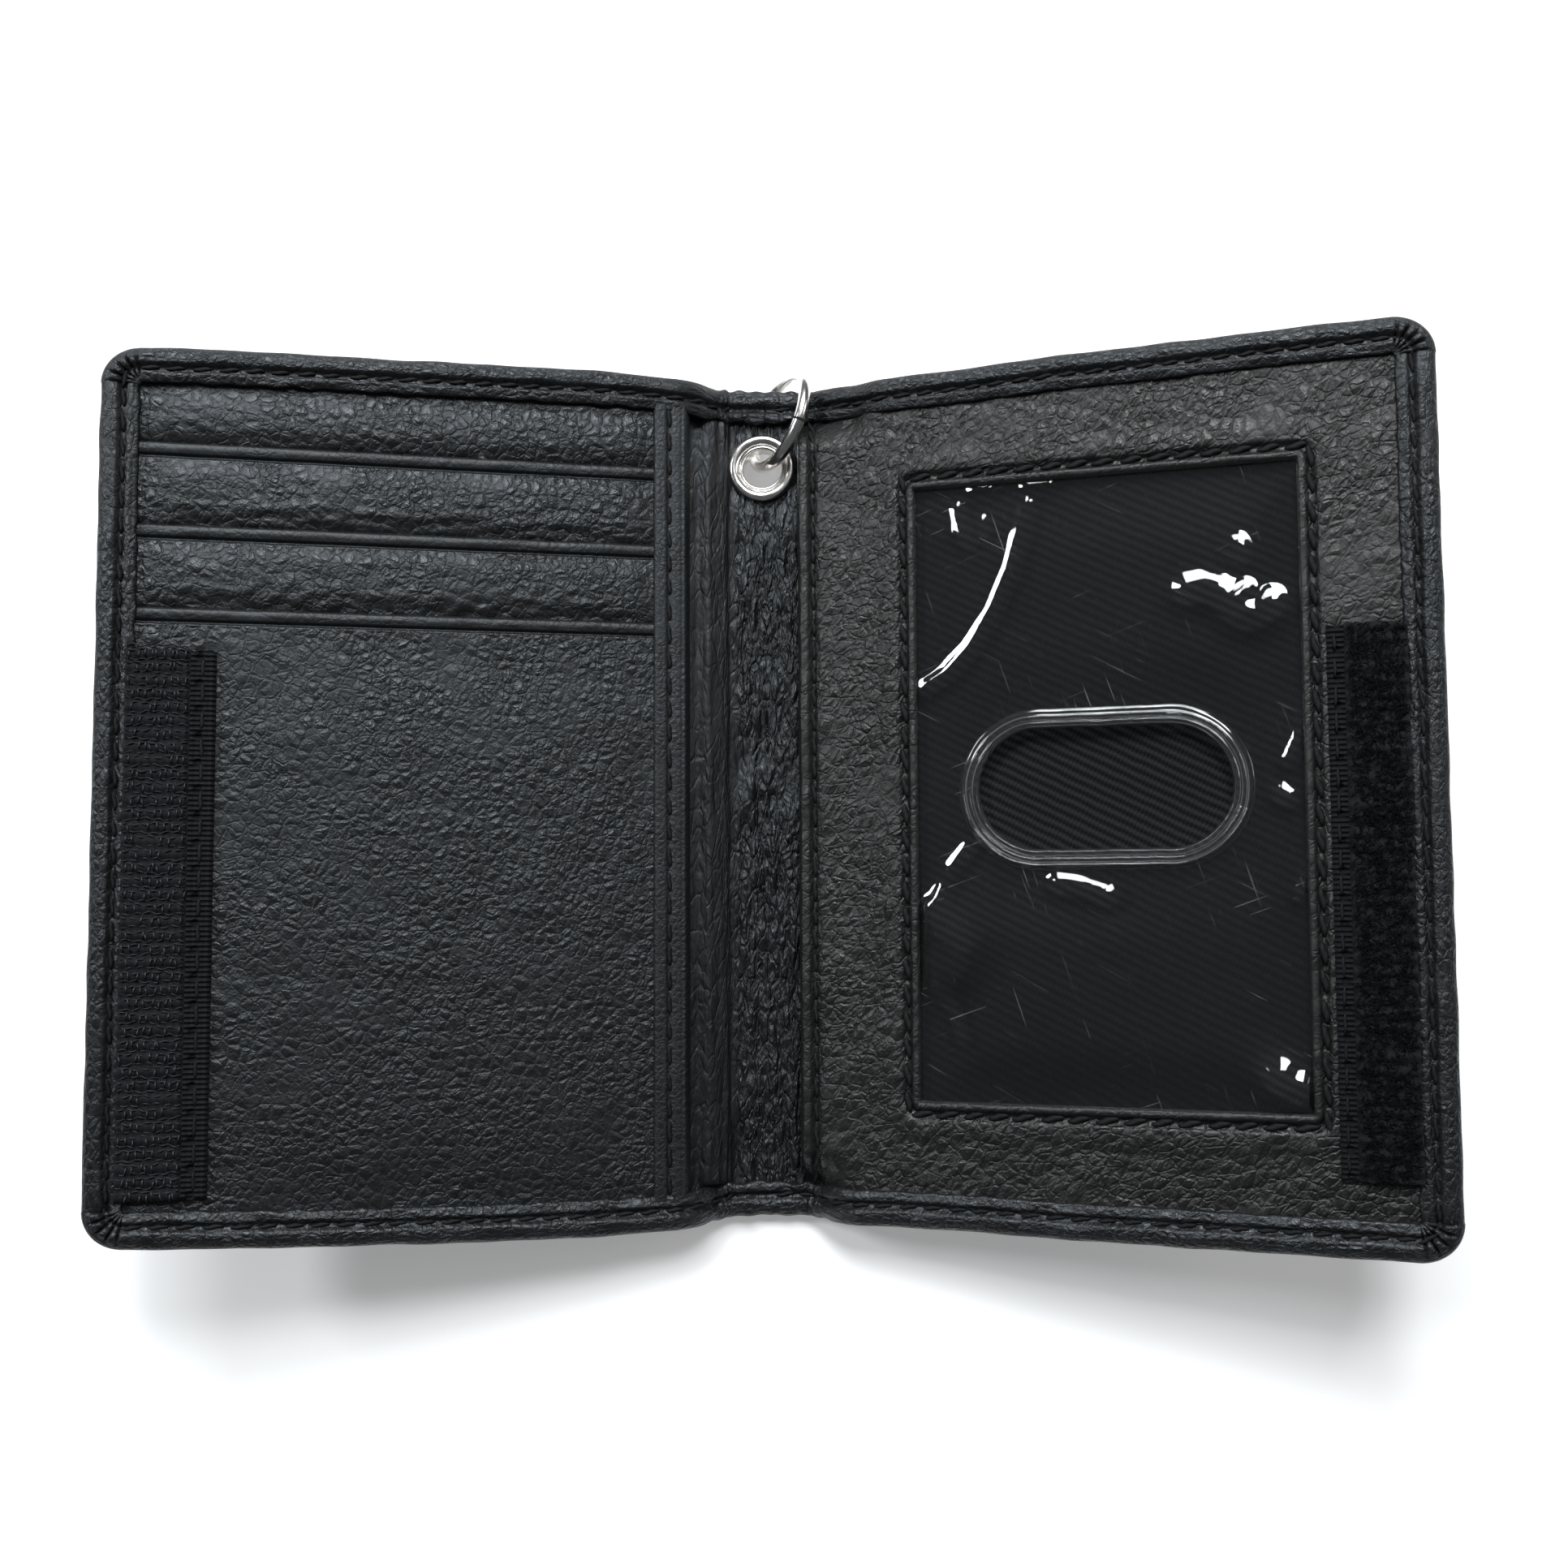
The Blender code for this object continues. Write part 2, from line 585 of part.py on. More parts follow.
def set_down(frame):
    """Tilts the wallet until its lower spine end and its ring both touch z = 0, then centres it."""
    bpy.context.view_layer.update()
    axle = bpy.data.objects["ring_swing_axis"].matrix_world.to_3x3()
    normal = (axle @ Vector((1, 0, 0))).normalized()
    heel = Vector((0, -SPINE_HEIGHT / 2 + 1.0 * mm, -AXIS_HEIGHT - SPINE_SAG))
    tilt = 0.0
    for _ in range(30):
        up = Vector((0, math.sin(tilt), math.cos(tilt)))
        reach = RING_RADIUS * math.sqrt(1 - up.dot(normal) ** 2) + RING_WIRE
        drop = up.dot(heel) - (up.dot(Vector(RING_CENTRE)) - reach)
        tilt += drop / (RING_CENTRE[1] - heel.y)
    frame.rotation_euler = (tilt, 0, 0)
    bpy.context.view_layer.update()
    graph = bpy.context.evaluated_depsgraph_get()
    corners = []
    for thing in parts.objects:
        if thing.type == "MESH":
            held = thing.evaluated_get(graph)
            corners += [held.matrix_world @ vert.co for vert in held.data.vertices]
    low = [min(corner[i] for corner in corners) for i in range(3)]
    high = [max(corner[i] for corner in corners) for i in range(3)]
    frame.location = (-(low[0] + high[0]) / 2, -(low[1] + high[1]) / 2, -low[2])


clear_scene()
parts = new_collection("badge_wallet")
cutters = new_collection("cutters")

cover_leather = make_material("cover_leather", (0.020, 0.021, 0.023), 0.50)
inside_leather = make_material("inside_leather", (0.026, 0.027, 0.029), 0.48)
lining_cloth = make_material("lining_cloth", (0.012, 0.012, 0.014), 0.90)
board_grey = make_material("board_grey", (0.16, 0.15, 0.14), 0.85)
clear_vinyl = make_material("clear_vinyl", (0.85, 0.87, 0.87), 0.08, alpha=0.25)
hook_black = make_material("hook_black", (0.008, 0.009, 0.013), 0.70)
loop_black = make_material("loop_black", (0.006, 0.007, 0.011), 0.95)
thread_black = make_material("thread_black", (0.010, 0.011, 0.018), 0.75)
nickel = make_material("nickel", (0.72, 0.71, 0.69), 0.16, metallic=1.0)

wallet = empty("wallet_frame", (0, 0, 0))
left_fold = empty("left_fold_axis", (-FOLD_SPACING / 2, 0, 0), wallet)
left_fold.rotation_euler = (0, REST_FOLD, 0)
right_fold = empty("right_fold_axis", (FOLD_SPACING / 2, 0, 0), wallet)
right_fold.rotation_euler = (0, -REST_FOLD, 0)
ring_swing = empty("ring_swing_axis", RING_CENTRE, wallet)
ring_swing.rotation_euler = (0, RING_LEAN, -RING_HEADING)

spine(wallet)
eyelet(wallet)
left_panel(left_fold)
right_panel(right_fold)
jump_ring(ring_swing)
set_down(wallet)
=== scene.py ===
"""Looks of the open badge wallet: leathers, seams, tapes, clear window and nickel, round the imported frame.

Lengths below are in millimetres. u runs across the leather from the middle of the spine, s out from a fold,
y along the spine, and h up from the back of the cover; place() bends that flat sheet into the open wallet.
"""

import math

import json

import bmesh
import bpy
import numpy as np
from mathutils import Matrix, Vector

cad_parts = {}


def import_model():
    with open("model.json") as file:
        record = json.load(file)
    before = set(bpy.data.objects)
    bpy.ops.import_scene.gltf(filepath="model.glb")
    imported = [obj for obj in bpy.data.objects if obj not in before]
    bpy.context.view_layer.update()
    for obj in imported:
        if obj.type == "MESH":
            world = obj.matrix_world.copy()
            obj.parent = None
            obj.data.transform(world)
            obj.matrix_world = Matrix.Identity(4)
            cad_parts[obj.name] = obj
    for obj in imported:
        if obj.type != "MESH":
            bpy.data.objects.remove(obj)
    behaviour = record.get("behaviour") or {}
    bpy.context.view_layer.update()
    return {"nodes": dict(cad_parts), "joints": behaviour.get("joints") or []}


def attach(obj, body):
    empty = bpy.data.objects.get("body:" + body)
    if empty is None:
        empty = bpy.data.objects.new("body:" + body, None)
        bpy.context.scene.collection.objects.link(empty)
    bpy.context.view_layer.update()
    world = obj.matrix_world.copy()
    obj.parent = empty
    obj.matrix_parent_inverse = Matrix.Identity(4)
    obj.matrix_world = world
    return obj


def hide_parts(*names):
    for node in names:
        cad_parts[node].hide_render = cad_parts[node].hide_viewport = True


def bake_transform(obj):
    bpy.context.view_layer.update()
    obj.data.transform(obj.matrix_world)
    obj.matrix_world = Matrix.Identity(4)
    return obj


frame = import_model()
mm = 0.001

# The wallet's own axes, from the frame's joints
JOINTS = {joint["name"]: joint for joint in frame["joints"]}
LEFT_AXIS = np.array(JOINTS["left_fold"]["pos_m"])
RIGHT_AXIS = np.array(JOINTS["right_fold"]["pos_m"])
ORIGIN = (LEFT_AXIS + RIGHT_AXIS) / 2
ACROSS = np.array((1.0, 0.0, 0.0))
ALONG = np.array(JOINTS["left_fold"]["axis"])
UP = np.cross(ACROSS, ALONG)
FOLD = math.radians(15.2)
FOLD_X = (RIGHT_AXIS[0] - LEFT_AXIS[0]) / 2 / mm  # 9.5

# Sizes that repeat the frame's
PANEL = 76.2
HALF = 57.15
CORNER = 5.0
U_END = FOLD_X + PANEL
AXIS_HEIGHT = 0.5
SAG = 3.0
FLAT = 5.0  # half the flat bottom of the spine
JOIN = 12.0  # where the spine's curve has met the panel's plane
HEM = 4.7
SEAM = 2.8
POCKET = 4.0  # height of the pocket leather
HEM_TOP = 4.92
HEM_TOP_SPINE = 2.95
EYELET = (-0.5, 45.1)
MOUTHS = (43.9, 33.4, 22.9)
BLEND = (4.8, 12.6)  # where leather bends, across the wallet from its middle


def smooth(t):
    """A soft step from 0 to 1."""
    t = np.clip(t, 0, 1)
    return t * t * (3 - 2 * t)


def bump(t):
    """A soft hill, 1 at 0 and 0 beyond -1 and 1."""
    return np.where(np.abs(t) < 1, (1 - np.clip(t * t, 0, 1)) ** 2, 0)


def waves(x, y, size, seed, count=9):
    """Smooth random hills about 0, from -1 to 1, some size across."""
    draw = np.random.default_rng(seed)
    total = 0
    for _ in range(count):
        turn, phase = draw.uniform(0, 2 * math.pi, 2)
        rate = 2 * math.pi / (size * draw.uniform(0.7, 1.5))
        total = total + np.sin((x * math.cos(turn) + y * math.sin(turn)) * rate + phase)
    return total / math.sqrt(count)


def spaced(start, stop, step):
    """Even places from start to stop, about a step apart."""
    return np.linspace(start, stop, max(2, int(round(abs(stop - start) / step)) + 1))


def lines(*spans):
    """Grid lines over several (start, stop, step) spans, one after another."""
    return np.unique(np.round(np.concatenate([spaced(*span) for span in spans]), 4))


# ---------------------------------------------------------------- places


def world(x, y, z):
    """Points from the wallet's own axes, in mm, to the row frame, in metres."""
    x, y, z = np.broadcast_arrays(x, y, z)
    return ORIGIN + (x[..., None] * ACROSS + y[..., None] * ALONG + z[..., None] * UP) * mm


def place(u, y, h):
    """The folded place of a point of the cover's sheet."""
    u, y, h = np.broadcast_arrays(np.asarray(u, float), y, h)
    a = np.abs(u)
    sign = np.where(u < 0, -1.0, 1.0)
    s = JOIN - FOLD_X
    end = np.array(
        (
            FOLD_X + s * math.cos(FOLD) + AXIS_HEIGHT * math.sin(FOLD),
            s * math.sin(FOLD) - AXIS_HEIGHT * math.cos(FOLD)
        )
    )
    start = np.array((FLAT, -AXIS_HEIGHT - SAG))
    out = np.array((7.6, 0.0))
    into = 7.4 * np.array((math.cos(FOLD), math.sin(FOLD)))
    t = np.clip((a - FLAT) / (JOIN - FLAT), 0, 1)
    f = (2 * t**3 - 3 * t**2 + 1, t**3 - 2 * t**2 + t, -2 * t**3 + 3 * t**2, t**3 - t**2)
    g = (6 * t**2 - 6 * t, 3 * t**2 - 4 * t + 1, -6 * t**2 + 6 * t, 3 * t**2 - 2 * t)
    keys = (start, out, end, into)
    x, z = (sum(fi * key[i] for fi, key in zip(f, keys)) for i in (0, 1))
    dx, dz = (sum(gi * key[i] for gi, key in zip(g, keys)) for i in (0, 1))
    angle = np.arctan2(dz, dx)
    beyond = np.maximum(a - JOIN, 0)
    x = np.where(a < FLAT, a, x + beyond * math.cos(FOLD))
    z = np.where(a < FLAT, start[1], z + beyond * math.sin(FOLD))
    angle = np.where(a < FLAT, 0.0, angle)
    return world(sign * (x - h * np.sin(angle)), y, z + h * np.cos(angle))


def on_panel(side):
    """A placer for points (s, y, h) of one panel's flat plane, which goes on past its fold."""

    def placer(s, y, h):
        z = np.asarray(h) - AXIS_HEIGHT
        x = FOLD_X + s * math.cos(FOLD) - z * math.sin(FOLD)
        return world(side * x, y, s * math.sin(FOLD) + z * math.cos(FOLD))

    return placer


# ---------------------------------------------------------------- meshes


def make_mesh(name, points, faces, flat, material, closed=True, grain=None):
    """A smooth mesh that keeps each point's flat place, and the strength of its grain, for its patterns."""
    mesh = bpy.data.meshes.new(name)
    mesh.from_pydata([tuple(p) for p in np.asarray(points).reshape(-1, 3)], [], faces)
    keep = mesh.attributes.new("flat", "FLOAT_VECTOR", "POINT")
    keep.data.foreach_set("vector", np.asarray(flat, np.float32).ravel())
    strength = mesh.attributes.new("grain", "FLOAT", "POINT")
    strength.data.foreach_set("value", np.ones(len(mesh.vertices), np.float32) if grain is None else grain)
    if closed:
        body = bmesh.new()
        body.from_mesh(mesh)
        bmesh.ops.recalc_face_normals(body, faces=body.faces)
        body.to_mesh(mesh)
        body.free()
    mesh.shade_smooth()
    mesh.set_sharp_from_angle(angle=math.radians(60))
    mesh.materials.append(material)
    made = bpy.data.objects.new(name, mesh)
    bpy.context.scene.collection.objects.link(made)
    return made


def grid_faces(index, keep, flip=False):
    """Quads over the kept cells of a grid of vertex numbers."""
    a, b, c, d = index[:-1, :-1], index[1:, :-1], index[1:, 1:], index[:-1, 1:]
    quads = np.stack([a, b, c, d] if not flip else [a, d, c, b], axis=-1)
    return quads[keep].tolist()


def wall_faces(top, low, keep):
    """Quads that join two grids round the edge of their kept cells."""
    padded = np.pad(keep, 1)
    faces = []
    for i, j in np.argwhere(keep):
        ring = (
            ((i, j), (i + 1, j), padded[i + 1, j]),
            ((i + 1, j), (i + 1, j + 1), padded[i + 2, j + 1]),
            ((i + 1, j + 1), (i, j + 1), padded[i + 1, j + 2]),
            ((i, j + 1), (i, j), padded[i, j + 1]),
        )
        for p, q, neighbour in ring:
            if not neighbour:
                faces.append([int(top[p]), int(low[p]), int(low[q]), int(top[q])])
    return faces


def sheet_solid(name, xs, ys, top, thickness, placer, material, keep=None, warp=None, grain=None):
    """A closed sheet over a grid: its top's height, thickness and places are functions of the flat place."""
    x, y = np.meshgrid(xs, ys, indexing="ij")
    cells = np.ones((len(xs) - 1, len(ys) - 1), bool)
    if keep is not None:
        cells = keep((x[1:, 1:] + x[:-1, :-1]) / 2, (y[1:, 1:] + y[:-1, :-1]) / 2)
    if warp is not None:
        x, y = warp(x, y)
    high = top(x, y)
    low = high - (thickness(x, y) if callable(thickness) else thickness)
    count = x.size
    index = np.arange(count).reshape(x.shape)
    points = np.concatenate([placer(x, y, high).reshape(-1, 3), placer(x, y, low).reshape(-1, 3)])
    flat = np.concatenate([np.stack([x, y, h], -1).reshape(-1, 3) for h in (high, low)])
    faces = grid_faces(index, cells) + grid_faces(index + count, cells, True)
    faces += wall_faces(index, index + count, cells)
    used = np.zeros(2 * count, bool)
    used[np.unique(np.concatenate([np.ravel(face) for face in faces]))] = True
    renumber = np.cumsum(used) - 1
    faces = [[int(renumber[v]) for v in face] for face in faces]
    power = None if grain is None else np.tile(
        np.broadcast_to(grain(x, y), x.shape).ravel(), 2
    )[used].astype(np.float32)
    return make_mesh(name, points[used], faces, flat[used], material, grain=power)


def edge_roll(value, low, high, reach, depth, power=2.0):
    """How far a sheet's top falls away within some reach of its two edges."""
    near = np.minimum(value - low, high - value)
    return -depth * np.clip(1 - near / reach, 0, 1) ** power


# ---------------------------------------------------------------- materials


class Nodes:
    """A node material being built."""

    def __init__(self, name, **inputs):
        self.material = bpy.data.materials.new(name)
        self.material.use_nodes = True
        self.tree = self.material.node_tree
        self.shader = self.tree.nodes["Principled BSDF"]
        for key, value in inputs.items():
            self.shader.inputs[key.replace("_", " ")].default_value = value

    def add(self, kind, inputs=None, **settings):
        node = self.tree.nodes.new(kind)
        for key, value in settings.items():
            setattr(node, key, value)
        for key, value in (inputs or {}).items():
            if isinstance(value, bpy.types.NodeSocket):
                self.tree.links.new(value, node.inputs[key])
            else:
                node.inputs[key].default_value = value
        return node

    def flat(self, scale=(1, 1, 1), turn=0.0):
        """The flat place in mm, turned and then scaled."""
        place_of = self.add("ShaderNodeAttribute", attribute_name="flat")
        turned = self.add(
            "ShaderNodeMapping", {"Vector": place_of.outputs["Vector"], "Rotation": (0, 0, turn)}
        )
        return self.add(
            "ShaderNodeMapping", {"Vector": turned.outputs["Vector"], "Scale": scale}
        ).outputs["Vector"]

    def noise(self, vector, scale, detail=3.0, rough=0.55):
        made = {"Vector": vector, "Scale": scale, "Detail": detail, "Roughness": rough}
        return self.add("ShaderNodeTexNoise", made).outputs["Fac"]

    def math(self, operation, a, b=0.0, c=0.0):
        return self.add("ShaderNodeMath", {0: a, 1: b, 2: c}, operation=operation).outputs["Value"]

    def span(self, value, low, high, to_low=0.0, to_high=1.0):
        made = {"Value": value, "From Min": low, "From Max": high, "To Min": to_low, "To Max": to_high}
        return self.add("ShaderNodeMapRange", made, interpolation_type="SMOOTHSTEP").outputs["Result"]

    def mix(self, factor, a, b):
        made = self.add("ShaderNodeMix", {"Factor": factor}, data_type="RGBA")
        for slot, value in ((6, a), (7, b)):
            if isinstance(value, bpy.types.NodeSocket):
                self.tree.links.new(value, made.inputs[slot])
            else:
                made.inputs[slot].default_value = (*value, 1.0)
        return made.outputs[2]

    def shifted(self, vector, by, scale, amount):
        """A vector pushed about by noise, so that cells lose their straight sides."""
        cloud = self.add("ShaderNodeTexNoise", {"Vector": by, "Scale": scale, "Detail": 2.0})
        centred = self.add(
            "ShaderNodeVectorMath", {0: cloud.outputs["Color"], 1: (0.5, 0.5, 0.5)}, operation="SUBTRACT"
        )
        grown = self.add(
            "ShaderNodeVectorMath", {0: centred.outputs[0], "Scale": amount}, operation="SCALE"
        )
        return self.add(
            "ShaderNodeVectorMath", {0: vector, 1: grown.outputs[0]}, operation="ADD"
        ).outputs[0]

    def cells(self, vector, scale, feature="DISTANCE_TO_EDGE"):
        made = {"Vector": vector, "Scale": scale, "Randomness": 0.95}
        return self.add("ShaderNodeTexVoronoi", made, feature=feature).outputs["Distance"]

    def relief(self, height, distance, strength=1.0, after=None):
        made = {"Height": height, "Distance": distance, "Strength": strength}
        if after is not None:
            made["Normal"] = after
        return self.add("ShaderNodeBump", made).outputs["Normal"]

    def set(self, name, socket):
        self.tree.links.new(socket, self.shader.inputs[name])


def leather(
    name, dark, light, pebble=1.3, stretch=(1, 1, 1), turn=0.0, wrinkle=0.5, rough=0.37, depth=0.26,
    tint=(0.91, 0.96, 1.0), across=0.9
):
    """Pebbled leather: round grains, winding creases between them, fine pores and worn, smoother patches; its
    colour carries painted shade in the creases and a painted highlight on the grain tops.
    """
    n = Nodes(name, Specular_IOR_Level=0.5, Specular_Tint=(*tint, 1.0))
    flat = n.flat(stretch, turn)
    kept = n.add("ShaderNodeAttribute", attribute_name="grain").outputs["Fac"]
    loose = n.shifted(n.shifted(flat, flat, 0.35, 1.1), flat, 2.6, 0.22)
    edge = n.cells(loose, 1 / pebble)
    dome = n.span(edge, 0.0, 0.42)
    line = n.math("SUBTRACT", 1.0, n.span(edge, 0.0, 0.13))
    second = n.cells(
        n.shifted(n.flat(tuple(0.8 * c for c in stretch), turn + across), flat, 0.6, 0.9), 1.25 / pebble
    )
    second = n.math("SUBTRACT", 1.0, n.span(second, 0.0, 0.12))
    little = n.span(n.cells(n.shifted(flat, flat, 1.8, 0.4), 2.6 / pebble), 0.0, 0.35)
    patch = n.span(n.noise(flat, 0.16, 2.0), 0.34, 0.60, 0.1, 1.0)
    fold = n.math("MULTIPLY", second, patch)
    worn = n.span(n.noise(flat, 0.085, 2.0), 0.30, 0.58, 0.45, 1.0)
    pores = n.noise(flat, 5.0, 4.0, 0.7)
    height = n.math("MULTIPLY_ADD", line, -0.22, n.math("MULTIPLY", dome, 0.62))
    height = n.math("MULTIPLY", n.math("MULTIPLY_ADD", little, 0.14, height), worn)
    height = n.math("MULTIPLY_ADD", fold, -wrinkle, height)
    height = n.math("MULTIPLY", height, kept)
    height = n.math("MULTIPLY_ADD", pores, 0.09, height)
    n.set("Normal", n.relief(height, depth * mm, 1.0))
    # Painted shade and highlight: the colour runs from the dark colour in the creases to the light one on the
    # grain tops, following the relief.
    relief_shaded_tone = n.mix(n.span(height, -0.25, 0.65), dark, light)
    cloud = n.span(n.noise(flat, 0.06, 3.0), 0.35, 0.7)
    n.set("Base Color", n.mix(n.math("MULTIPLY", cloud, 0.3), relief_shaded_tone, tuple(1.5 * c for c in light)))
    gloss = n.span(height, -0.1, 0.6, rough + 0.16, rough)
    n.set("Roughness", n.math("MULTIPLY_ADD", n.math("SUBTRACT", pores, 0.5), 0.14, gloss))
    return n.material


def cloth_twill(name):
    """Twill lining: ribs that fall to the right, each broken into its yarns, with lint; its colour is painted
    shade, darker in the low places between ribs and yarns.
    """
    n = Nodes(name, Sheen_Weight=0.02, Sheen_Roughness=0.4, Specular_IOR_Level=0.15)
    flat = n.flat()
    ribs = n.add(
        "ShaderNodeTexWave",
        {
            "Vector": n.flat((1, 1, 1), math.radians(27)), "Scale": 0.285, "Distortion": 1.1, "Detail": 2.5,
            "Detail Scale": 1.2
        },
        bands_direction="Y"
    )
    yarns = n.add(
        "ShaderNodeTexWave",
        {"Vector": n.flat((1, 1, 1), math.radians(-62)), "Scale": 0.62, "Distortion": 1.2, "Detail": 1.0},
        bands_direction="Y"
    )
    hair = n.noise(flat, 5.0, 4.0, 0.75)
    height = n.math(
        "MULTIPLY_ADD", ribs.outputs["Fac"], 0.75, n.math("MULTIPLY", yarns.outputs["Fac"], 0.3)
    )
    height = n.math("MULTIPLY_ADD", hair, 0.3, height)
    n.set("Normal", n.relief(height, 0.16 * mm))
    lint = n.math("GREATER_THAN", n.noise(n.flat((1, 1, 1), 0.4), 2.3, 6.0, 0.8), 0.755)
    # Painted shade: darker in the low places between ribs and yarns, lighter on their tops.
    base = n.mix(n.span(height, 0.2, 1.1), (0.0011, 0.0011, 0.0015), (0.0120, 0.0127, 0.0145))
    n.set("Base Color", n.mix(n.math("MULTIPLY", lint, 0.4), base, (0.12, 0.12, 0.13)))
    n.set("Roughness", n.span(hair, 0.3, 0.7, 0.7, 0.95))
    return n.material


def tape(name, colour, light, selvage, seam, first, rows=1.65):
    """Woven tape: ribs along its selvage and yarn rows across the rest. Its colour is painted shade: darker
    in the weave's low places and near black in the needle holes.
    """
    n = Nodes(name, Sheen_Weight=0.02, Specular_IOR_Level=0.2)
    flat = n.flat()
    across = n.add("ShaderNodeSeparateXYZ", {"Vector": flat})
    ribs = n.math("SINE", n.math("MULTIPLY", across.outputs["X"], 2 * math.pi / 0.75))
    picks = n.math("SINE", n.math("MULTIPLY", across.outputs["Y"], 2 * math.pi / 0.62))
    weft = n.math("SINE", n.math("MULTIPLY", across.outputs["Y"], 2 * math.pi / rows))
    warp = n.math("SINE", n.math("MULTIPLY", across.outputs["X"], 2 * math.pi / 0.85))
    edge = n.math("LESS_THAN", across.outputs["X"], selvage)
    hair = n.noise(flat, 7.0, 4.0, 0.7)
    border = n.math("MULTIPLY_ADD", ribs, 0.18, n.math("MULTIPLY", picks, 0.8))
    along = n.math("PINGPONG", n.math("SUBTRACT", across.outputs["Y"], first), STITCH / 2)
    aside = n.math("SUBTRACT", across.outputs["X"], seam)
    away = n.math("SQRT", n.math("MULTIPLY_ADD", aside, aside, n.math("MULTIPLY", along, along)))
    hole = n.span(away, 0.25, 0.62, 1.0, 0.0)
    ground = n.math("MULTIPLY_ADD", weft, 0.45, n.math("MULTIPLY", warp, 0.2))
    woven = n.math(
        "ADD", n.math("MULTIPLY", edge, border), n.math("MULTIPLY", n.math("SUBTRACT", 1.0, edge), ground)
    )
    height = n.math("MULTIPLY_ADD", hole, -1.6, n.math("MULTIPLY_ADD", hair, 0.6, woven))
    n.set("Normal", n.relief(height, 0.18 * mm))
    # Painted shade: the colour darkens in the weave's low places and goes near black in the needle holes.
    relief_shaded_tone = n.mix(n.span(height, -0.4, 1.1), colour, light)
    n.set("Base Color", n.mix(hole, relief_shaded_tone, (0.0003, 0.0003, 0.0004)))
    n.set("Roughness", n.span(hair, 0.3, 0.7, 0.5, 0.85))
    return n.material


def yarn(name, dark, light, rough, shine=0.4):
    """Thread, hooks and fuzz: a dark fibre that is a little lighter here and there."""
    n = Nodes(name, Specular_IOR_Level=shine)
    hair = n.noise(n.flat(), 9.0, 4.0, 0.7)
    n.set("Base Color", n.mix(n.span(hair, 0.35, 0.7), dark, light))
    n.set("Roughness", n.span(hair, 0.3, 0.7, rough - 0.1, rough + 0.12))
    n.set("Normal", n.relief(hair, 0.06 * mm))
    return n.material


def vinyl(name, haze=0.003):
    """Clear sheet: what is behind shows, with a sharp shine, scratches and a little dust."""
    n = Nodes(name)
    flat = n.flat()
    scratch = None
    for turn, seed in ((0.5, 3.0), (-0.35, 17.0), (1.25, 41.0)):
        long_way = n.flat((0.035, 2.2, 1.0), turn)
        moved = n.add("ShaderNodeVectorMath", {0: long_way, 1: (seed, seed, 0)}, operation="ADD").outputs[0]
        line = n.math("GREATER_THAN", n.noise(moved, 1.6, 2.0, 0.5), 0.735)
        scratch = line if scratch is None else n.math("MAXIMUM", scratch, line)
    where = n.span(n.noise(flat, 0.09, 2.0), 0.42, 0.62)
    dust = n.math("GREATER_THAN", n.noise(flat, 1.9, 6.0, 0.85), 0.79)
    marks = n.math(
        "MAXIMUM", n.math("MULTIPLY", n.math("MULTIPLY", scratch, where), 0.11),
        n.math("MULTIPLY", dust, 0.5)
    )
    ripple = n.relief(n.noise(flat, 0.12, 1.0), 0.12 * mm)
    tree = n.tree
    tree.nodes.remove(n.shader)
    clear = n.add("ShaderNodeBsdfTransparent", {"Color": (0.93, 0.94, 0.94, 1)})
    shine = n.add("ShaderNodeBsdfGlossy", {"Color": (1, 1, 1, 1), "Roughness": 0.03, "Normal": ripple})
    milk = n.add("ShaderNodeBsdfDiffuse", {"Color": (0.75, 0.78, 0.8, 1)})
    mirror = n.add("ShaderNodeFresnel", {"IOR": 1.5, "Normal": ripple})
    sheet_mix = n.add(
        "ShaderNodeMixShader", {0: mirror.outputs[0], 1: clear.outputs[0], 2: shine.outputs[0]}
    )
    cover = n.math("ADD", marks, haze)
    dusty = n.add("ShaderNodeMixShader", {0: cover, 1: sheet_mix.outputs[0], 2: milk.outputs[0]})
    out = next(node for node in tree.nodes if node.type == "OUTPUT_MATERIAL")
    tree.links.new(dusty.outputs[0], out.inputs["Surface"])
    return n.material


def metal(name, colour, rough):
    """Polished plating with faint rubbing marks and a slight grime in patches."""
    n = Nodes(name, Metallic=1.0)
    place_of = n.add("ShaderNodeTexCoord").outputs["Object"]
    rub = n.noise(place_of, 900.0, 3.0, 0.6)
    grime = n.span(n.noise(place_of, 260.0, 3.0), 0.52, 0.75)
    n.set("Base Color", n.mix(n.math("MULTIPLY", grime, 0.5), colour, tuple(0.55 * c for c in colour)))
    n.set("Roughness", n.span(rub, 0.35, 0.7, rough, rough + 0.07))
    n.set("Normal", n.relief(n.noise(place_of, 300.0, 2.0), 0.004 * mm, 0.3))
    return n.material


STITCH = 3.3
HOOK_HOLES = (63.1, -49.35)  # the needle holes: their line, and the first one
LOOP_HOLES = (63.75, -46.95)
# Each leather's pair of colours: the first is painted shade in the creases, the second a painted highlight on
# the grain tops; the second also tints the random lighter clouds.
COOL = ((0.0008, 0.0009, 0.0012), (0.0040, 0.0045, 0.0054))
WARM = ((0.0009, 0.0009, 0.0009), (0.0054, 0.0053, 0.0052))
cover_skin = leather("cover_leather_grain", *COOL, pebble=1.35, depth=0.13, wrinkle=0.3)
left_skin = leather("pocket_leather_grain", *COOL, pebble=1.45, depth=0.15, wrinkle=0.36)
spine_skin = leather(
    "spine_leather_grain", *COOL, pebble=1.35, stretch=(1.15, 0.34, 1), turn=0.10, depth=0.30, wrinkle=0.6,
    across=-0.3
)
right_skin = leather(
    "window_leather_grain", *WARM, pebble=1.35, stretch=(1.0, 0.62, 1), turn=0.5, depth=0.17, wrinkle=0.42,
    tint=(1.0, 0.992, 0.98)
)
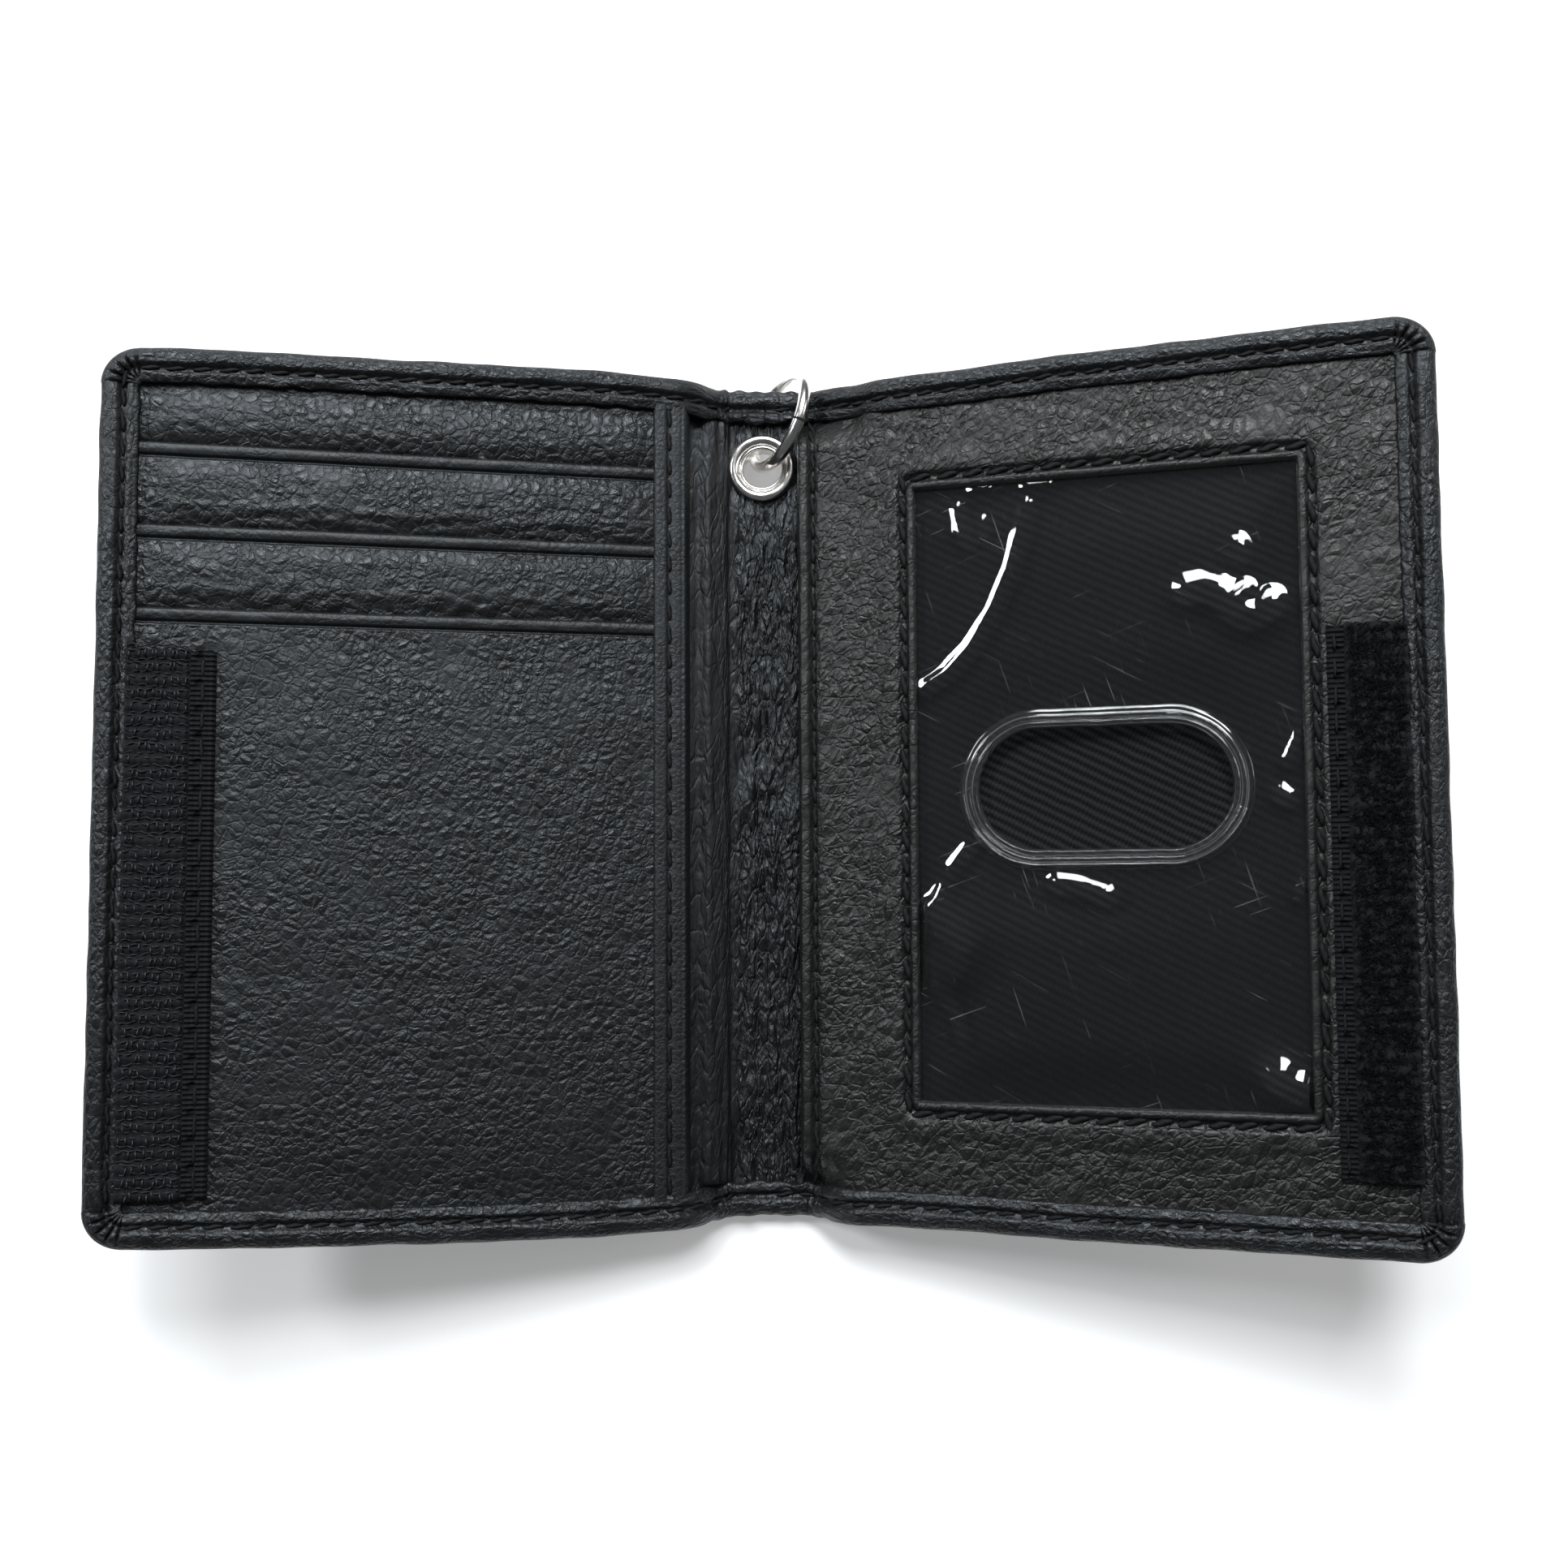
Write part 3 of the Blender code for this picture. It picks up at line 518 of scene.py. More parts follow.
trim_skin = leather("trim_leather_grain", *COOL, pebble=0.85, depth=0.05, wrinkle=0.25, rough=0.40)
twill = cloth_twill("twill_lining")
# Each tape's two colours: painted shade in the weave's low places, and the colour of its tops.
hook_cloth = tape("hook_tape_weave", (0.0006, 0.0007, 0.0012), (0.0075, 0.0083, 0.0118), 64.2, *HOOK_HOLES)
loop_cloth = tape("loop_tape_weave", (0.0005, 0.0006, 0.0011), (0.0045, 0.0050, 0.0078), 64.6, *LOOP_HOLES)
hook_yarn = yarn("hook_bristle", (0.0020, 0.0023, 0.0034), (0.024, 0.027, 0.035), 0.40, 0.45)
weft_yarn = yarn("hook_weft_yarn", (0.0010, 0.0012, 0.0020), (0.0085, 0.0095, 0.0140), 0.5, 0.3)
loop_yarn = yarn("loop_fuzz", (0.0005, 0.0006, 0.0011), (0.0036, 0.0042, 0.0072), 0.8, 0.12)
thread = yarn("sewing_thread", (0.0008, 0.0009, 0.0012), (0.0045, 0.005, 0.007), 0.62, 0.25)
clear = vinyl("clear_vinyl_sheet")
rim_clear = vinyl("clear_vinyl_rim", 0.010)
nickel = metal("polished_nickel", (0.76, 0.74, 0.71), 0.18)


# ---------------------------------------------------------------- attaching


def bends(piece, side, *nodes, slot="cover_leather"):
    """The piece keeps the place it was built in, baked into its mesh, and the frame's nodes it stands for are
    hidden.
    """
    start = world(side * BLEND[0], 0, 0)
    end = world(side * BLEND[1], 0, 0)
    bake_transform(piece)
    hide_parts(*nodes)


def rides(piece, body, *nodes, slot="inside_leather"):
    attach(piece, body)
    if nodes:
        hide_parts(*nodes)


# ---------------------------------------------------------------- cover


# Half the cover's length at each u, above and below the middle: handmade, so not quite straight
TOP_EDGE = (
    (-86, 55.5), (-80, 55.6), (-68, 56.0), (-53, 56.1), (-37, 56.3), (-21, 56.5), (-11, 55.9), (-5, 56.1),
    (0, 55.7), (6, 55.6), (10, 55.3), (16, 55.1), (24, 55.2), (40, 55.8), (55, 55.9), (70, 56.2), (86, 56.2)
)
LOW_EDGE = (
    (-86, 55.6), (-77, 55.7), (-66, 56.2), (-51, 56.6), (-37, 56.9), (-21, 57.0), (-11, 56.6), (-5, 56.0),
    (0, 55.7), (6, 55.8), (10, 56.0), (22, 55.8), (38, 56.2), (53, 56.3), (67, 56.4), (86, 56.5)
)


def half_height(u, y):
    """Half the cover's length at a signed u, above the middle or below it."""
    total = 0
    for shift in (-3.0, -1.5, 0.0, 1.5, 3.0):
        top = np.interp(u + shift, *np.array(TOP_EDGE).T)
        low = np.interp(u + shift, *np.array(LOW_EDGE).T)
        total = total + np.where(y < 0, low, top) / 5
    return total


def hem_top(u, y, side):
    """The hem is low over the spine, and by the ring stays low a little longer so that the ring clears it."""
    by_ring = (side > 0) & (y > 0)
    start = np.where(by_ring, 12.0, 7.6)
    return HEM_TOP_SPINE + (HEM_TOP - HEM_TOP_SPINE) * smooth((np.abs(u) - start) / 5.4)


def inset(u0, y0, d, side):
    """The place of a nominal outline point, drawn in by d, round the rounded corners."""
    a = np.clip((u0 - (U_END - CORNER)) / CORNER, 0, 1)
    b = np.clip((np.abs(y0) - (HALF - CORNER)) / CORNER, 0, 1)
    r = np.maximum(a, b)
    small = 1e-9
    turn = np.where(
        a >= b, math.pi / 4 * b / np.maximum(a, small), math.pi / 2 - math.pi / 4 * a / np.maximum(b, small)
    )
    reach = np.maximum(CORNER - d, 0.25)
    over = CORNER - d - reach  # below 0 once the corner has closed up
    u = np.minimum(u0, U_END - CORNER) + r * reach * np.cos(turn) + np.where(a > 0, over, 0) * (a >= 0)
    y = np.minimum(np.abs(y0), HALF - CORNER) + r * reach * np.sin(turn) + np.where(b > 0, over, 0)
    u = u - (0.65 if side < 0 else 0.2) * smooth((u - 60) / 25)
    return u, np.sign(y0) * y * half_height(side * u, y0) / HALF


COVER_U = lines((0, 13, 0.26), (13, U_END - CORNER, 1.1), (U_END - CORNER, U_END, CORNER / 22))
COVER_Y = lines(
    (-HALF, -HALF + CORNER, CORNER / 22), (-HALF + CORNER, HALF - CORNER, 1.0),
    (HALF - CORNER, HALF, CORNER / 22)
)
ROUND = 1.2


def outline():
    """The nominal outline from the middle of the spine, along the top, the side and the bottom, and back."""
    top = [(u, HALF) for u in COVER_U]
    side = [(U_END, y) for y in COVER_Y[::-1][1:]]
    low = [(u, -HALF) for u in COVER_U[::-1][1:]]
    return np.array(top + side + low)


def corner_turn(u0, y0):
    """How far a point of the outline is from the middle of its corner, in mm along the edge."""
    a = np.clip((u0 - (U_END - CORNER)) / CORNER, 0, 1)
    b = np.clip((np.abs(y0) - (HALF - CORNER)) / CORNER, 0, 1)
    turn = np.where(a >= b, b / np.maximum(a, 1e-9) - 1, 1 - a / np.maximum(b, 1e-9)) * math.pi / 4
    past = np.maximum(U_END - CORNER - u0, 0) - np.maximum(HALF - CORNER - np.abs(y0), 0)
    return turn * 3.4 + past


def hem_height(u0, y0, d, side):
    """The hem's top, with its puffed edge, sewn groove, corner pleats and the gathers over the spine."""
    u, y = inset(u0, y0, np.minimum(d, 4.6), side)
    along = np.where(np.abs(y0) > HALF - CORNER, u, y)
    height = hem_top(u, y0, side)
    wide = smooth((d - 0.5) / 1.0)
    inner = 0.40 * smooth((d - 2.4) / 1.9) * smooth((np.abs(u) - 9.0) / 5.0)
    height = height - inner + 0.16 * bump((d - 1.7) / 1.1) + 0.10 * bump((d - 3.8) / 0.7)
    height = height - 0.50 * bump((d - SEAM) / 0.75)
    height = height + 0.07 * wide * waves(along, d * 1.5 + side * 31, 3.2, 5)
    away = corner_turn(u0, y0)
    fan = np.abs(((away / 1.15 + 0.25) % 1.0) - 0.5) * 2  # 1 on a crease, 0 between creases
    pleat = (0.5 - 1.5 * fan**4) * bump(away / 6.2) * wide
    height = height + 0.48 * pleat * smooth((4.4 - d) / 1.6)
    soft = 1 - smooth((np.abs(u) - 7.0) / 5.0)
    gather = np.sin(
        u * 5.1 + 1.3 * np.sin(u * 1.9 + side) + np.sign(y0)
    ) * 0.6 + 0.5 * waves(u, y0 * 0.02, 1.5, 8)
    return height + 0.15 * soft * gather * wide


def hem_wiggle(u0, y0, d, side):
    """How far the leather's edge wanders in and out."""
    u, y = inset(u0, y0, 0.0, side)
    along = np.where(np.abs(y0) > HALF - CORNER, u, y)
    soft = 1 - smooth((np.abs(u) - 7.0) / 5.0)
    wander = 0.05 * waves(along, side * 17.0 + 0.0 * u, 6.0, 21)
    lip = smooth((d - 4.0) / 0.6) * (
        0.10 * waves(along, side * 9.0 + 0.0 * u, 4.0, 33) + 0.30 * soft
        * waves(along, 3.0 + 0.0 * u, 5.0, 34)
    )
    return wander * (
        1 - smooth((d - 0.4) / 2)
    ) + lip + 0.12 * soft * waves(u, 0.1 * y0, 1.7, 12) * bump(d / 3.0)


EDGE_ROLL = 1.1  # radius of the turn from the cover's edge onto the hem
INNER_FACE = 1.0  # height of the cover's inner face
EYELET_HOLE = 3.7


def cover(side):
    """Half of the outer leather: its back, the wall round its edge, the turned hem and the inner face."""
    border = outline()
    bu, by = border[:, 0], border[:, 1]
    u0, y0 = np.meshgrid(COVER_U, COVER_Y, indexing="ij")
    n_grid = u0.size
    index = np.arange(n_grid).reshape(u0.shape)
    rim = np.concatenate([index[:, -1], index[-1, ::-1][1:], index[::-1, 0][1:]])
    mid_u = (u0[1:, 1:] + u0[:-1, :-1]) / 2
    mid_y = (y0[1:, 1:] + y0[:-1, :-1]) / 2
    mid_y = mid_y * half_height(side * mid_u, mid_y) / HALF
    hole = np.hypot(side * mid_u - EYELET[0], mid_y - EYELET[1]) < EYELET_HOLE
    keep = ~hole

    gu, gy = inset(u0, y0, ROUND, side)
    soft = 0.10 * waves(gu + side * 40, gy, 26, 3) * smooth((gu - 14) / 10)
    back = soft * smooth((U_END - gu) / 12) * smooth((HALF - np.abs(gy)) / 12)
    points = [place(side * gu, gy, back).reshape(-1, 3)]
    flat = [np.stack([side * gu, gy, 0 * gu - 20], -1).reshape(-1, 3)]
    rows = []

    def add_row(d, h):
        edge = d + hem_wiggle(bu, by, d, side)
        u, y = inset(bu, by, edge, side)
        u = np.where(bu == 0, 0.0, u)
        rows.append(np.arange(len(bu)) + sum(len(p) for p in points))
        points.append(place(side * u, y, h).reshape(-1, 3))
        flat.append(np.stack([side * u, y, 0 * u + h + d], -1).reshape(-1, 3))

    top = hem_top(bu, by, side)
    for t in np.linspace(0, math.pi / 2, 7)[1:]:
        add_row(ROUND - ROUND * math.sin(t), ROUND - ROUND * math.cos(t))
    for share in (0.33, 0.66):
        add_row(0.0, ROUND + share * (top - EDGE_ROLL - ROUND))
    for t in np.linspace(0, math.pi / 2, 7):
        d = EDGE_ROLL - EDGE_ROLL * math.cos(t)
        add_row(d, hem_height(bu, by, d, side) - EDGE_ROLL + EDGE_ROLL * math.sin(t))
    for d in np.arange(1.3, 4.45, 0.2):
        add_row(d, hem_height(bu, by, d, side))
    lip = hem_height(bu, by, 4.4, side)
    for d, down in ((4.55, 0.05), (4.66, 0.18), (HEM, 0.38), (HEM, 0.8)):
        add_row(d, lip - down)
    under = top - 0.85
    for d in (4.2, 0.95):
        add_row(d, under)
    iu, iy = inset(u0, y0, ROUND, side)
    inner_start = sum(len(p) for p in points)
    points.append(place(side * iu, iy, INNER_FACE + back).reshape(-1, 3))
    flat.append(np.stack([side * iu, iy, 0 * iu + 30], -1).reshape(-1, 3))

    faces = grid_faces(index, keep, side > 0) + grid_faces(index + inner_start, keep, side < 0)
    chain = [rim, *rows, rim + inner_start]
    for a, b in zip(chain[:-1], chain[1:]):
        for i in range(len(a) - 1):
            faces.append([int(a[i]), int(a[i + 1]), int(b[i + 1]), int(b[i])])
    walls = wall_faces(index, index + inner_start, keep)
    border_cells = set(map(int, rim)) | set(map(int, index[0, :]))
    faces += [f for f in walls if not (f[0] in border_cells and f[3] in border_cells)]
    piece = make_mesh(
        "outer_leather_" + ("left" if side < 0 else "right"), np.concatenate(points), faces,
        np.concatenate(flat), cover_skin
    )
    nodes = ("cover_right", "stiffener_right")
    if side < 0:
        nodes = ("cover_left", "stiffener_left", "cover_spine")
    bends(piece, side, *nodes)
    return piece


# ---------------------------------------------------------------- stitches


def stitch_shape(length, radius, twist=2.6, around=8, along=9):
    """One stitch along X: a twisted two-ply thread whose ends dive into the leather."""
    t = np.linspace(-1, 1, along)
    thick = np.sqrt(np.clip(1 - np.abs(t) ** 3.5, 0.02, 1))
    angle = np.linspace(0, 2 * math.pi, around, endpoint=False)
    grid_t, grid_a = np.meshgrid(t, angle, indexing="ij")
    r = radius * thick[:, None] * (1 + 0.20 * np.cos(2 * (grid_a - twist * grid_t)))
    x = grid_t * length / 2
    y = r * np.cos(grid_a)
    z = r * np.sin(grid_a) * 0.9 - 1.15 * radius * grid_t**4
    shape = np.stack([x, y, z], -1).reshape(-1, 3)
    faces = []
    for i in range(along - 1):
        for j in range(around):
            k = (j + 1) % around
            faces.append([i * around + j, i * around + k, (i + 1) * around + k, (i + 1) * around + j])
    faces.append(list(range(around))[::-1])
    faces.append([(along - 1) * around + j for j in range(around)])
    return shape, faces


def stitches(name, path, ups, pitch, length, radius, slant=0.0, seed=1, closed=False):
    """A row of stitches along a path in the row frame, in metres, with the surface's normal at each point."""
    path, ups = np.asarray(path), np.asarray(ups)
    if closed:
        path, ups = np.vstack([path, path[:1]]), np.vstack([ups, ups[:1]])
    gone = np.concatenate([[0], np.cumsum(np.linalg.norm(np.diff(path, axis=0), axis=1))]) / mm
    count = max(1, int(round(gone[-1] / pitch)))
    step = gone[-1] / count
    draw = np.random.default_rng(seed)
    shape, shape_faces = stitch_shape(length, radius)
    points, faces = [], []
    for i in range(count):
        at = (i + 0.5) * step + draw.uniform(-0.06, 0.06) * step
        centre = np.array([np.interp(at, gone, path[:, k]) for k in range(3)])
        ahead = np.array([np.interp(min(at + 0.6, gone[-1]), gone, path[:, k]) for k in range(3)])
        behind = np.array([np.interp(max(at - 0.6, 0), gone, path[:, k]) for k in range(3)])
        up = np.array([np.interp(at, gone, ups[:, k]) for k in range(3)])
        up /= np.linalg.norm(up)
        run = ahead - behind
        run -= up * (run @ up)
        run /= np.linalg.norm(run)
        cross = np.cross(up, run)
        lean = slant + draw.uniform(-0.05, 0.05)
        cosine, sine = math.cos(lean), math.sin(lean)
        run, cross = run * cosine + cross * sine, cross * cosine - run * sine
        grown = draw.uniform(0.93, 1.06)
        placed = centre + (shape[:, :1] * run * grown + shape[:, 1:2] * cross + shape[:, 2:] * up) * mm
        faces += [[v + len(points) * len(shape) for v in face] for face in shape_faces]
        points.append(placed)
    points = np.concatenate(points)
    return make_mesh(name, points, faces, points / mm, thread, closed=False)


def normals_of(placer, x, y):
    low, high = placer(x, y, 0 * x), placer(x, y, 0 * x + 1.0)
    return (high - low) / np.linalg.norm(high - low, axis=-1, keepdims=True)


def hem_stitches(side):
    border = outline()
    steps = np.concatenate([[0], np.cumsum(np.hypot(*np.diff(border, axis=0).T))])
    even = np.arange(0.8, steps[-1] - 0.8, 0.25)
    bu, by = np.interp(even, steps, border[:, 0]), np.interp(even, steps, border[:, 1])
    if side < 0:
        bu, by = bu[::-1], by[::-1]
    u, y = inset(bu, by, SEAM, side)
    soft = 1 - smooth((np.abs(u) - 7.0) / 5.0)
    y = y + 0.28 * soft * waves(u, 0 * u, 3.6, 14 + side)
    height = hem_height(bu, by, SEAM, side) + 0.13
    placer = lambda a, b, h: place(side * a, b, h)
    path = placer(u, y, height)
    name = "hem_stitches_" + ("left" if side < 0 else "right")
    piece = stitches(name, path, normals_of(placer, u, y), 3.15, 2.75, 0.27, 0.10, seed=40 + side)
    nodes = ("thread_left_hem",) if side < 0 else (
        "thread_right_hem", "thread_spine_top", "thread_spine_bottom"
    )
    bends(piece, side, *nodes, slot="thread")


def outer_stitches(side):
    """The hem's seam again where it comes through on the outside."""
    border = outline()
    steps = np.concatenate([[0], np.cumsum(np.hypot(*np.diff(border, axis=0).T))])
    even = np.arange(1.0, steps[-1] - 1.0, 0.4)
    u, y = inset(np.interp(even, steps, border[:, 0]), np.interp(even, steps, border[:, 1]), SEAM, side)
    placer = lambda a, b, h: place(side * a, b, h)
    ups = -normals_of(placer, u, y)
    name = "outer_hem_stitches_" + ("left" if side < 0 else "right")
    piece = stitches(name, placer(u, y, 0.08 + 0 * u), ups, 3.15, 2.6, 0.25, 0.06, seed=60 + side)
    bends(piece, side, slot="thread")


def straight_stitches(name, s, y0, y1, height, side, body, nodes, **how):
    placer = on_panel(side)
    y = spaced(y0, y1, 0.5)
    x = 0 * y + s
    piece = stitches(name, placer(x, y, height(x, y)), normals_of(placer, x, y), **how)
    rides(piece, body, *nodes, slot="thread")


# ---------------------------------------------------------------- left panel

LEFT = on_panel(-1)


def groove(value, at, width, depth):
    return -depth * bump((value - at) / width)


def pocket_tops():
    """The four leathers of the card side, each a step above the one behind it."""
    end = 74.0
    s_lines = lines((2.2, 4, 0.6), (4, 66, 0.8), (66, 72, 0.3), (72, end, 0.9))
    names = (
        ("card_backing_leather", "card_backing", 3.72), ("slot_leather_top", "card_pocket_top", 3.82),
        ("slot_leather_middle", "card_pocket_middle", 3.92),
        ("slot_leather_front", "card_pocket_front", POCKET)
    )
    for i, (name, node, base) in enumerate(names):
        mouth = MOUTHS[i - 1] if i else 54.0
        low = -54.4 if i in (0, 3) else mouth - 17.5
        next_mouth = MOUTHS[i] if i < 3 else None
        fine_low = mouth - 12.6 if i else 30.0
        if i == 3:
            fine_low = low
        spans = [(low, fine_low, 3.0)] if fine_low > low + 1 else []
        if i == 3:
            y_lines = lines((low, 16, 0.8), (16, mouth - 2.6, 0.5), (mouth - 2.6, mouth, 0.1))
        elif i:
            y_lines = lines(*spans, (fine_low, mouth - 2.6, 0.45), (mouth - 2.6, mouth, 0.1))
        else:
            y_lines = lines(*spans, (fine_low, mouth, 0.6))

        def top(s, y, i=i, base=base, mouth=mouth, next_mouth=next_mouth):
            calm = smooth((s - 2) / 4) * smooth((73 - s) / 3) * smooth((54 - np.abs(y)) / 3)
            height = base + calm * (0.05 * waves(s, y, 9, 50 + i) + 0.035 * waves(s, y, 3.2, 60 + i))
            side_fade = smooth((s - 5.5) / 4) * smooth((71.5 - s) / 5)
            if i:
                lip = mouth - y
                height = height + 0.17 * bump(
                    (lip - 0.85) / 0.95
                ) - 0.40 * np.clip(1 - lip / 0.4, 0, 1) ** 2
                height = height + groove(lip, 1.85, 0.36, 0.34)
            if next_mouth is not None:
                rise = y - next_mouth
                puff = smooth(rise / 2.6) * smooth(((mouth - 2.1 if i else 50.5) - y) / 2.2)
                height = height + side_fade * (0.36 * puff) - 0.34 * np.exp(-np.maximum(rise, 0) / 0.9)
                height = height - (1.0 if i == 0 else 0.42) * smooth(-rise / 1.2)
                rough = smooth(1.2 - rise / 5.5)
                height = height + side_fade * rough * 0.13 * waves(s * 0.8, y * 1.7, 2.6, 70 + i)
            if i == 3:
                pillow = smooth((s - 6) / 14) * smooth((62 - s) / 12)
                pillow = pillow * smooth((18 - y) / 12) * smooth((y + 54) / 14)
                height = height + 0.35 * pillow
            height = height + groove(s, 70.3, 0.28, 0.22) + groove(s, 7.3, 0.3, 0.10)
            return height

        def grain(s, y, i=i, mouth=mouth):
            return 1 - 0.65 * smooth((2.3 - (mouth - y)) / 0.5) if i else 1.0 + 0 * s

        piece = sheet_solid(name, s_lines, y_lines, top, 0.34, LEFT, left_skin, grain=grain)
        extra = ("card_pocket_lining",) if i == 1 else ()
        rides(piece, "left_panel", node, *extra)


def binding():
    """The strip that binds the pockets' inner edge and turns down towards the spine."""
    s_lines = lines((1.3, 2.6, 0.13), (2.6, 5.6, 0.2), (5.6, 6.3, 0.1))
    y_lines = lines((-52.75, 52.6, 0.7))

    def top(s, y):
        height = 4.62 + 0.04 * waves(s, y, 7, 81) + edge_roll(s, -9, 6.3, 0.5, 0.4)
        height = height - 1.3 * np.clip(1 - (s - 1.3) / 1.2, 0, 1) ** 2.2
        return height + groove(s, 4.25, 0.55, 0.30) + groove(s, 2.55, 0.3, 0.08)

    def thickness(s, y):
        return np.where(s < 2.3, top(s, y) - 1.7, 0.55)

    piece = sheet_solid("left_edge_binding_strip", s_lines, y_lines, top, thickness, LEFT, trim_skin)
    rides(piece, "left_panel", "left_edge_binding")
    straight_stitches(
        "binding_stitches", 4.25, -52.2, 52.0, lambda s, y: 0 * s + 4.44, -1, "left_panel",
        ("thread_binding",), pitch=3.25, length=2.85, radius=0.27, slant=0.07, seed=3
    )


# ---------------------------------------------------------------- spine

RIGHT = on_panel(1)


def spine_lining(side):
    """One half of the spine's lining: fine grain by the card slots, long folds by the window."""
    u_lines = lines((0, 12.6, 0.24))
    y_lines = lines((-54.2, 54.0, 0.42))

    def keep(u, y):
        return np.hypot(side * u - EYELET[0], y - EYELET[1]) > 3.75

    def top(u, y):
        v = side * u
        near_end = smooth((np.abs(y) - 40) / 12)
        round_eyelet = smooth((np.hypot(v - EYELET[0], y - EYELET[1]) - 4.3) / 2.5)
        vertical = 0.17 * waves(v * 1.0, y * 0.16, 1.5, 91) + 0.12 * waves(v, y * 0.28, 2.6, 92)
        gathers = 0.14 * near_end * np.sin(v * 4.3 + 0.9 * np.sin(y * 0.3))
        broad = 0.28 * bump((v + 3.4) / 3.2) + 0.18 * bump((v - 3.2) / 2.4)
        held = smooth((52.6 - np.abs(y)) / 1.6)
        beside = 1.15 * smooth((-v - 3.8) / 3.2) * smooth((10.3 + v) / 1.1)
        loose = 0.25 + 0.75 * smooth((v + 5.0) / 1.8)
        bent = v + 0.5 * np.sin(y * 0.11) + 0.35 * waves(v * 0.3, y * 0.3, 2.2, 95)
        cracks = np.exp(-(waves(bent, y * 0.13, 1.15, 93) / 0.20) ** 2) + 0.6 * np.exp(
            -(waves(bent * 1.2, y * 0.22, 1.3, 94) / 0.16) ** 2
        )
        vertical = loose * (vertical - 0.24 * cracks)
        return 1.80 + held * beside + held * round_eyelet * (
            vertical + gathers + broad * smooth((50 - np.abs(y)) / 10)
        )

    def grain(u, y):
        return 0.30 + 0.70 * smooth((side * u + 5.0) / 1.8)

    piece = sheet_solid(
        "spine_lining_" + ("left" if side < 0 else "right"), u_lines, y_lines, top, 0.72, lambda u, y,
        h: place(side * u, y, h), spine_skin, keep, grain=grain
    )
    bends(piece, side, *(("spine_lining",) if side < 0 else ()), slot="inside_leather")


# ---------------------------------------------------------------- right panel

WINDOW = (11.75, 59.7)
WINDOW_HALF = 39.8
FREE_EDGE = -4.5
FRAME_TOP = POCKET


def frame_top(s, y):
    calm = smooth((73.5 - s) / 3) * smooth((54 - np.abs(y)) / 3)
    height = FRAME_TOP - 0.06 + calm * (
        0.07 * waves(s, y, 11, 101) + 0.05 * waves(s * 1.2 + y * 0.6, y * 0.8 - s * 0.5, 4, 102)
    )
    flap = smooth((4.0 - s) / 5)
    height = height + 0.35 * flap + 0.10 * flap * waves(0 * s, y, 14, 103)
    height = height + 0.55 * bump((s - FREE_EDGE - 1.1) / 1.35) - 1.0 * np.clip(
        1 - (s - FREE_EDGE) / 0.8, 0, 1
    ) ** 2
    height = height + groove(s, -2.15, 0.7, 0.50)
    # the leather rises a little towards the window, is drawn down along its seam and rolls over its edge
    ds = np.maximum(WINDOW[0] - s, s - WINDOW[1])
    dy = np.abs(y) - WINDOW_HALF
    away = np.where((ds > 0) & (dy > 0), np.hypot(np.maximum(ds, 0), np.maximum(dy, 0)), np.maximum(ds, dy))
    height = height + groove(away, 1.65, 0.85, 0.50) + 0.14 * bump((away - 0.65) / 0.65)
    height = height + 0.16 * bump((away - 3.4) / 2.2) - 0.36 * np.clip(1 - away / 0.3, 0, 1) ** 2
    return height + groove(s, 70.4, 0.3, 0.16)


def flap_place(s, y, h):
    """The window leather's plane; over the spine its two ends dive under the lower hem."""
    tuck = (smooth((np.abs(y) - 46.5) / 5.2) * smooth((7.5 - s) / 4.5))[..., None]
    u = FOLD_X + s
    under = hem_top(u, y, 1) - 0.97 + h - frame_top(s, y)
    return RIGHT(s, y, h) * (1 - tuck) + place(u, y, under) * tuck


def window_leather():
    s_lines = lines(
        (FREE_EDGE, FREE_EDGE + 2.6, 0.12), (FREE_EDGE + 2.6, 8.9, 0.5), (8.9, WINDOW[0] - 0.4, 0.2),
        (WINDOW[0] - 0.4, WINDOW[0], 0.1), (WINDOW[0], WINDOW[1], 0.8), (WINDOW[1], WINDOW[1] + 0.4, 0.1),
        (WINDOW[1] + 0.4, 62.6, 0.2), (62.6, 74.4, 0.6)
    )
    near = (WINDOW_HALF, WINDOW_HALF + 0.4, 0.1), (WINDOW_HALF + 0.4, 42.8, 0.2), (42.8, 53.6, 0.35)
    y_lines = lines(*[(-b, -a, step) for a, b, step in near], (-WINDOW_HALF, WINDOW_HALF, 0.6), *near)

    def keep(s, y):
        hole = (s > WINDOW[0]) & (s < WINDOW[1]) & (np.abs(y) < WINDOW_HALF)
        return ~hole

    def grain(s, y):
        ds = np.maximum(WINDOW[0] - s, s - WINDOW[1])
        away = np.maximum(ds, np.abs(y) - WINDOW_HALF)
        return (1 - 0.5 * smooth((-2.0 - s) / 0.4)) * (1 - 0.5 * smooth((1.6 - away) / 0.6))

    piece = sheet_solid(
        "window_frame_leather", s_lines, y_lines, frame_top, 0.5, flap_place, right_skin, keep, grain=grain
    )
    bends(piece, 1, "window_frame", "window_leather_edge", slot="inside_leather")
    y = spaced(-51.6, 51.6, 0.4)
    s = 0 * y - 2.15
    path = flap_place(s, y, frame_top(s, y) + 0.14)
    row = stitches("window_edge_stitches", path, normals_of(flap_place, s, y), 3.2, 2.9, 0.30, 0.10, seed=7)
    bends(row, 1, "thread_window_edge", slot="thread")


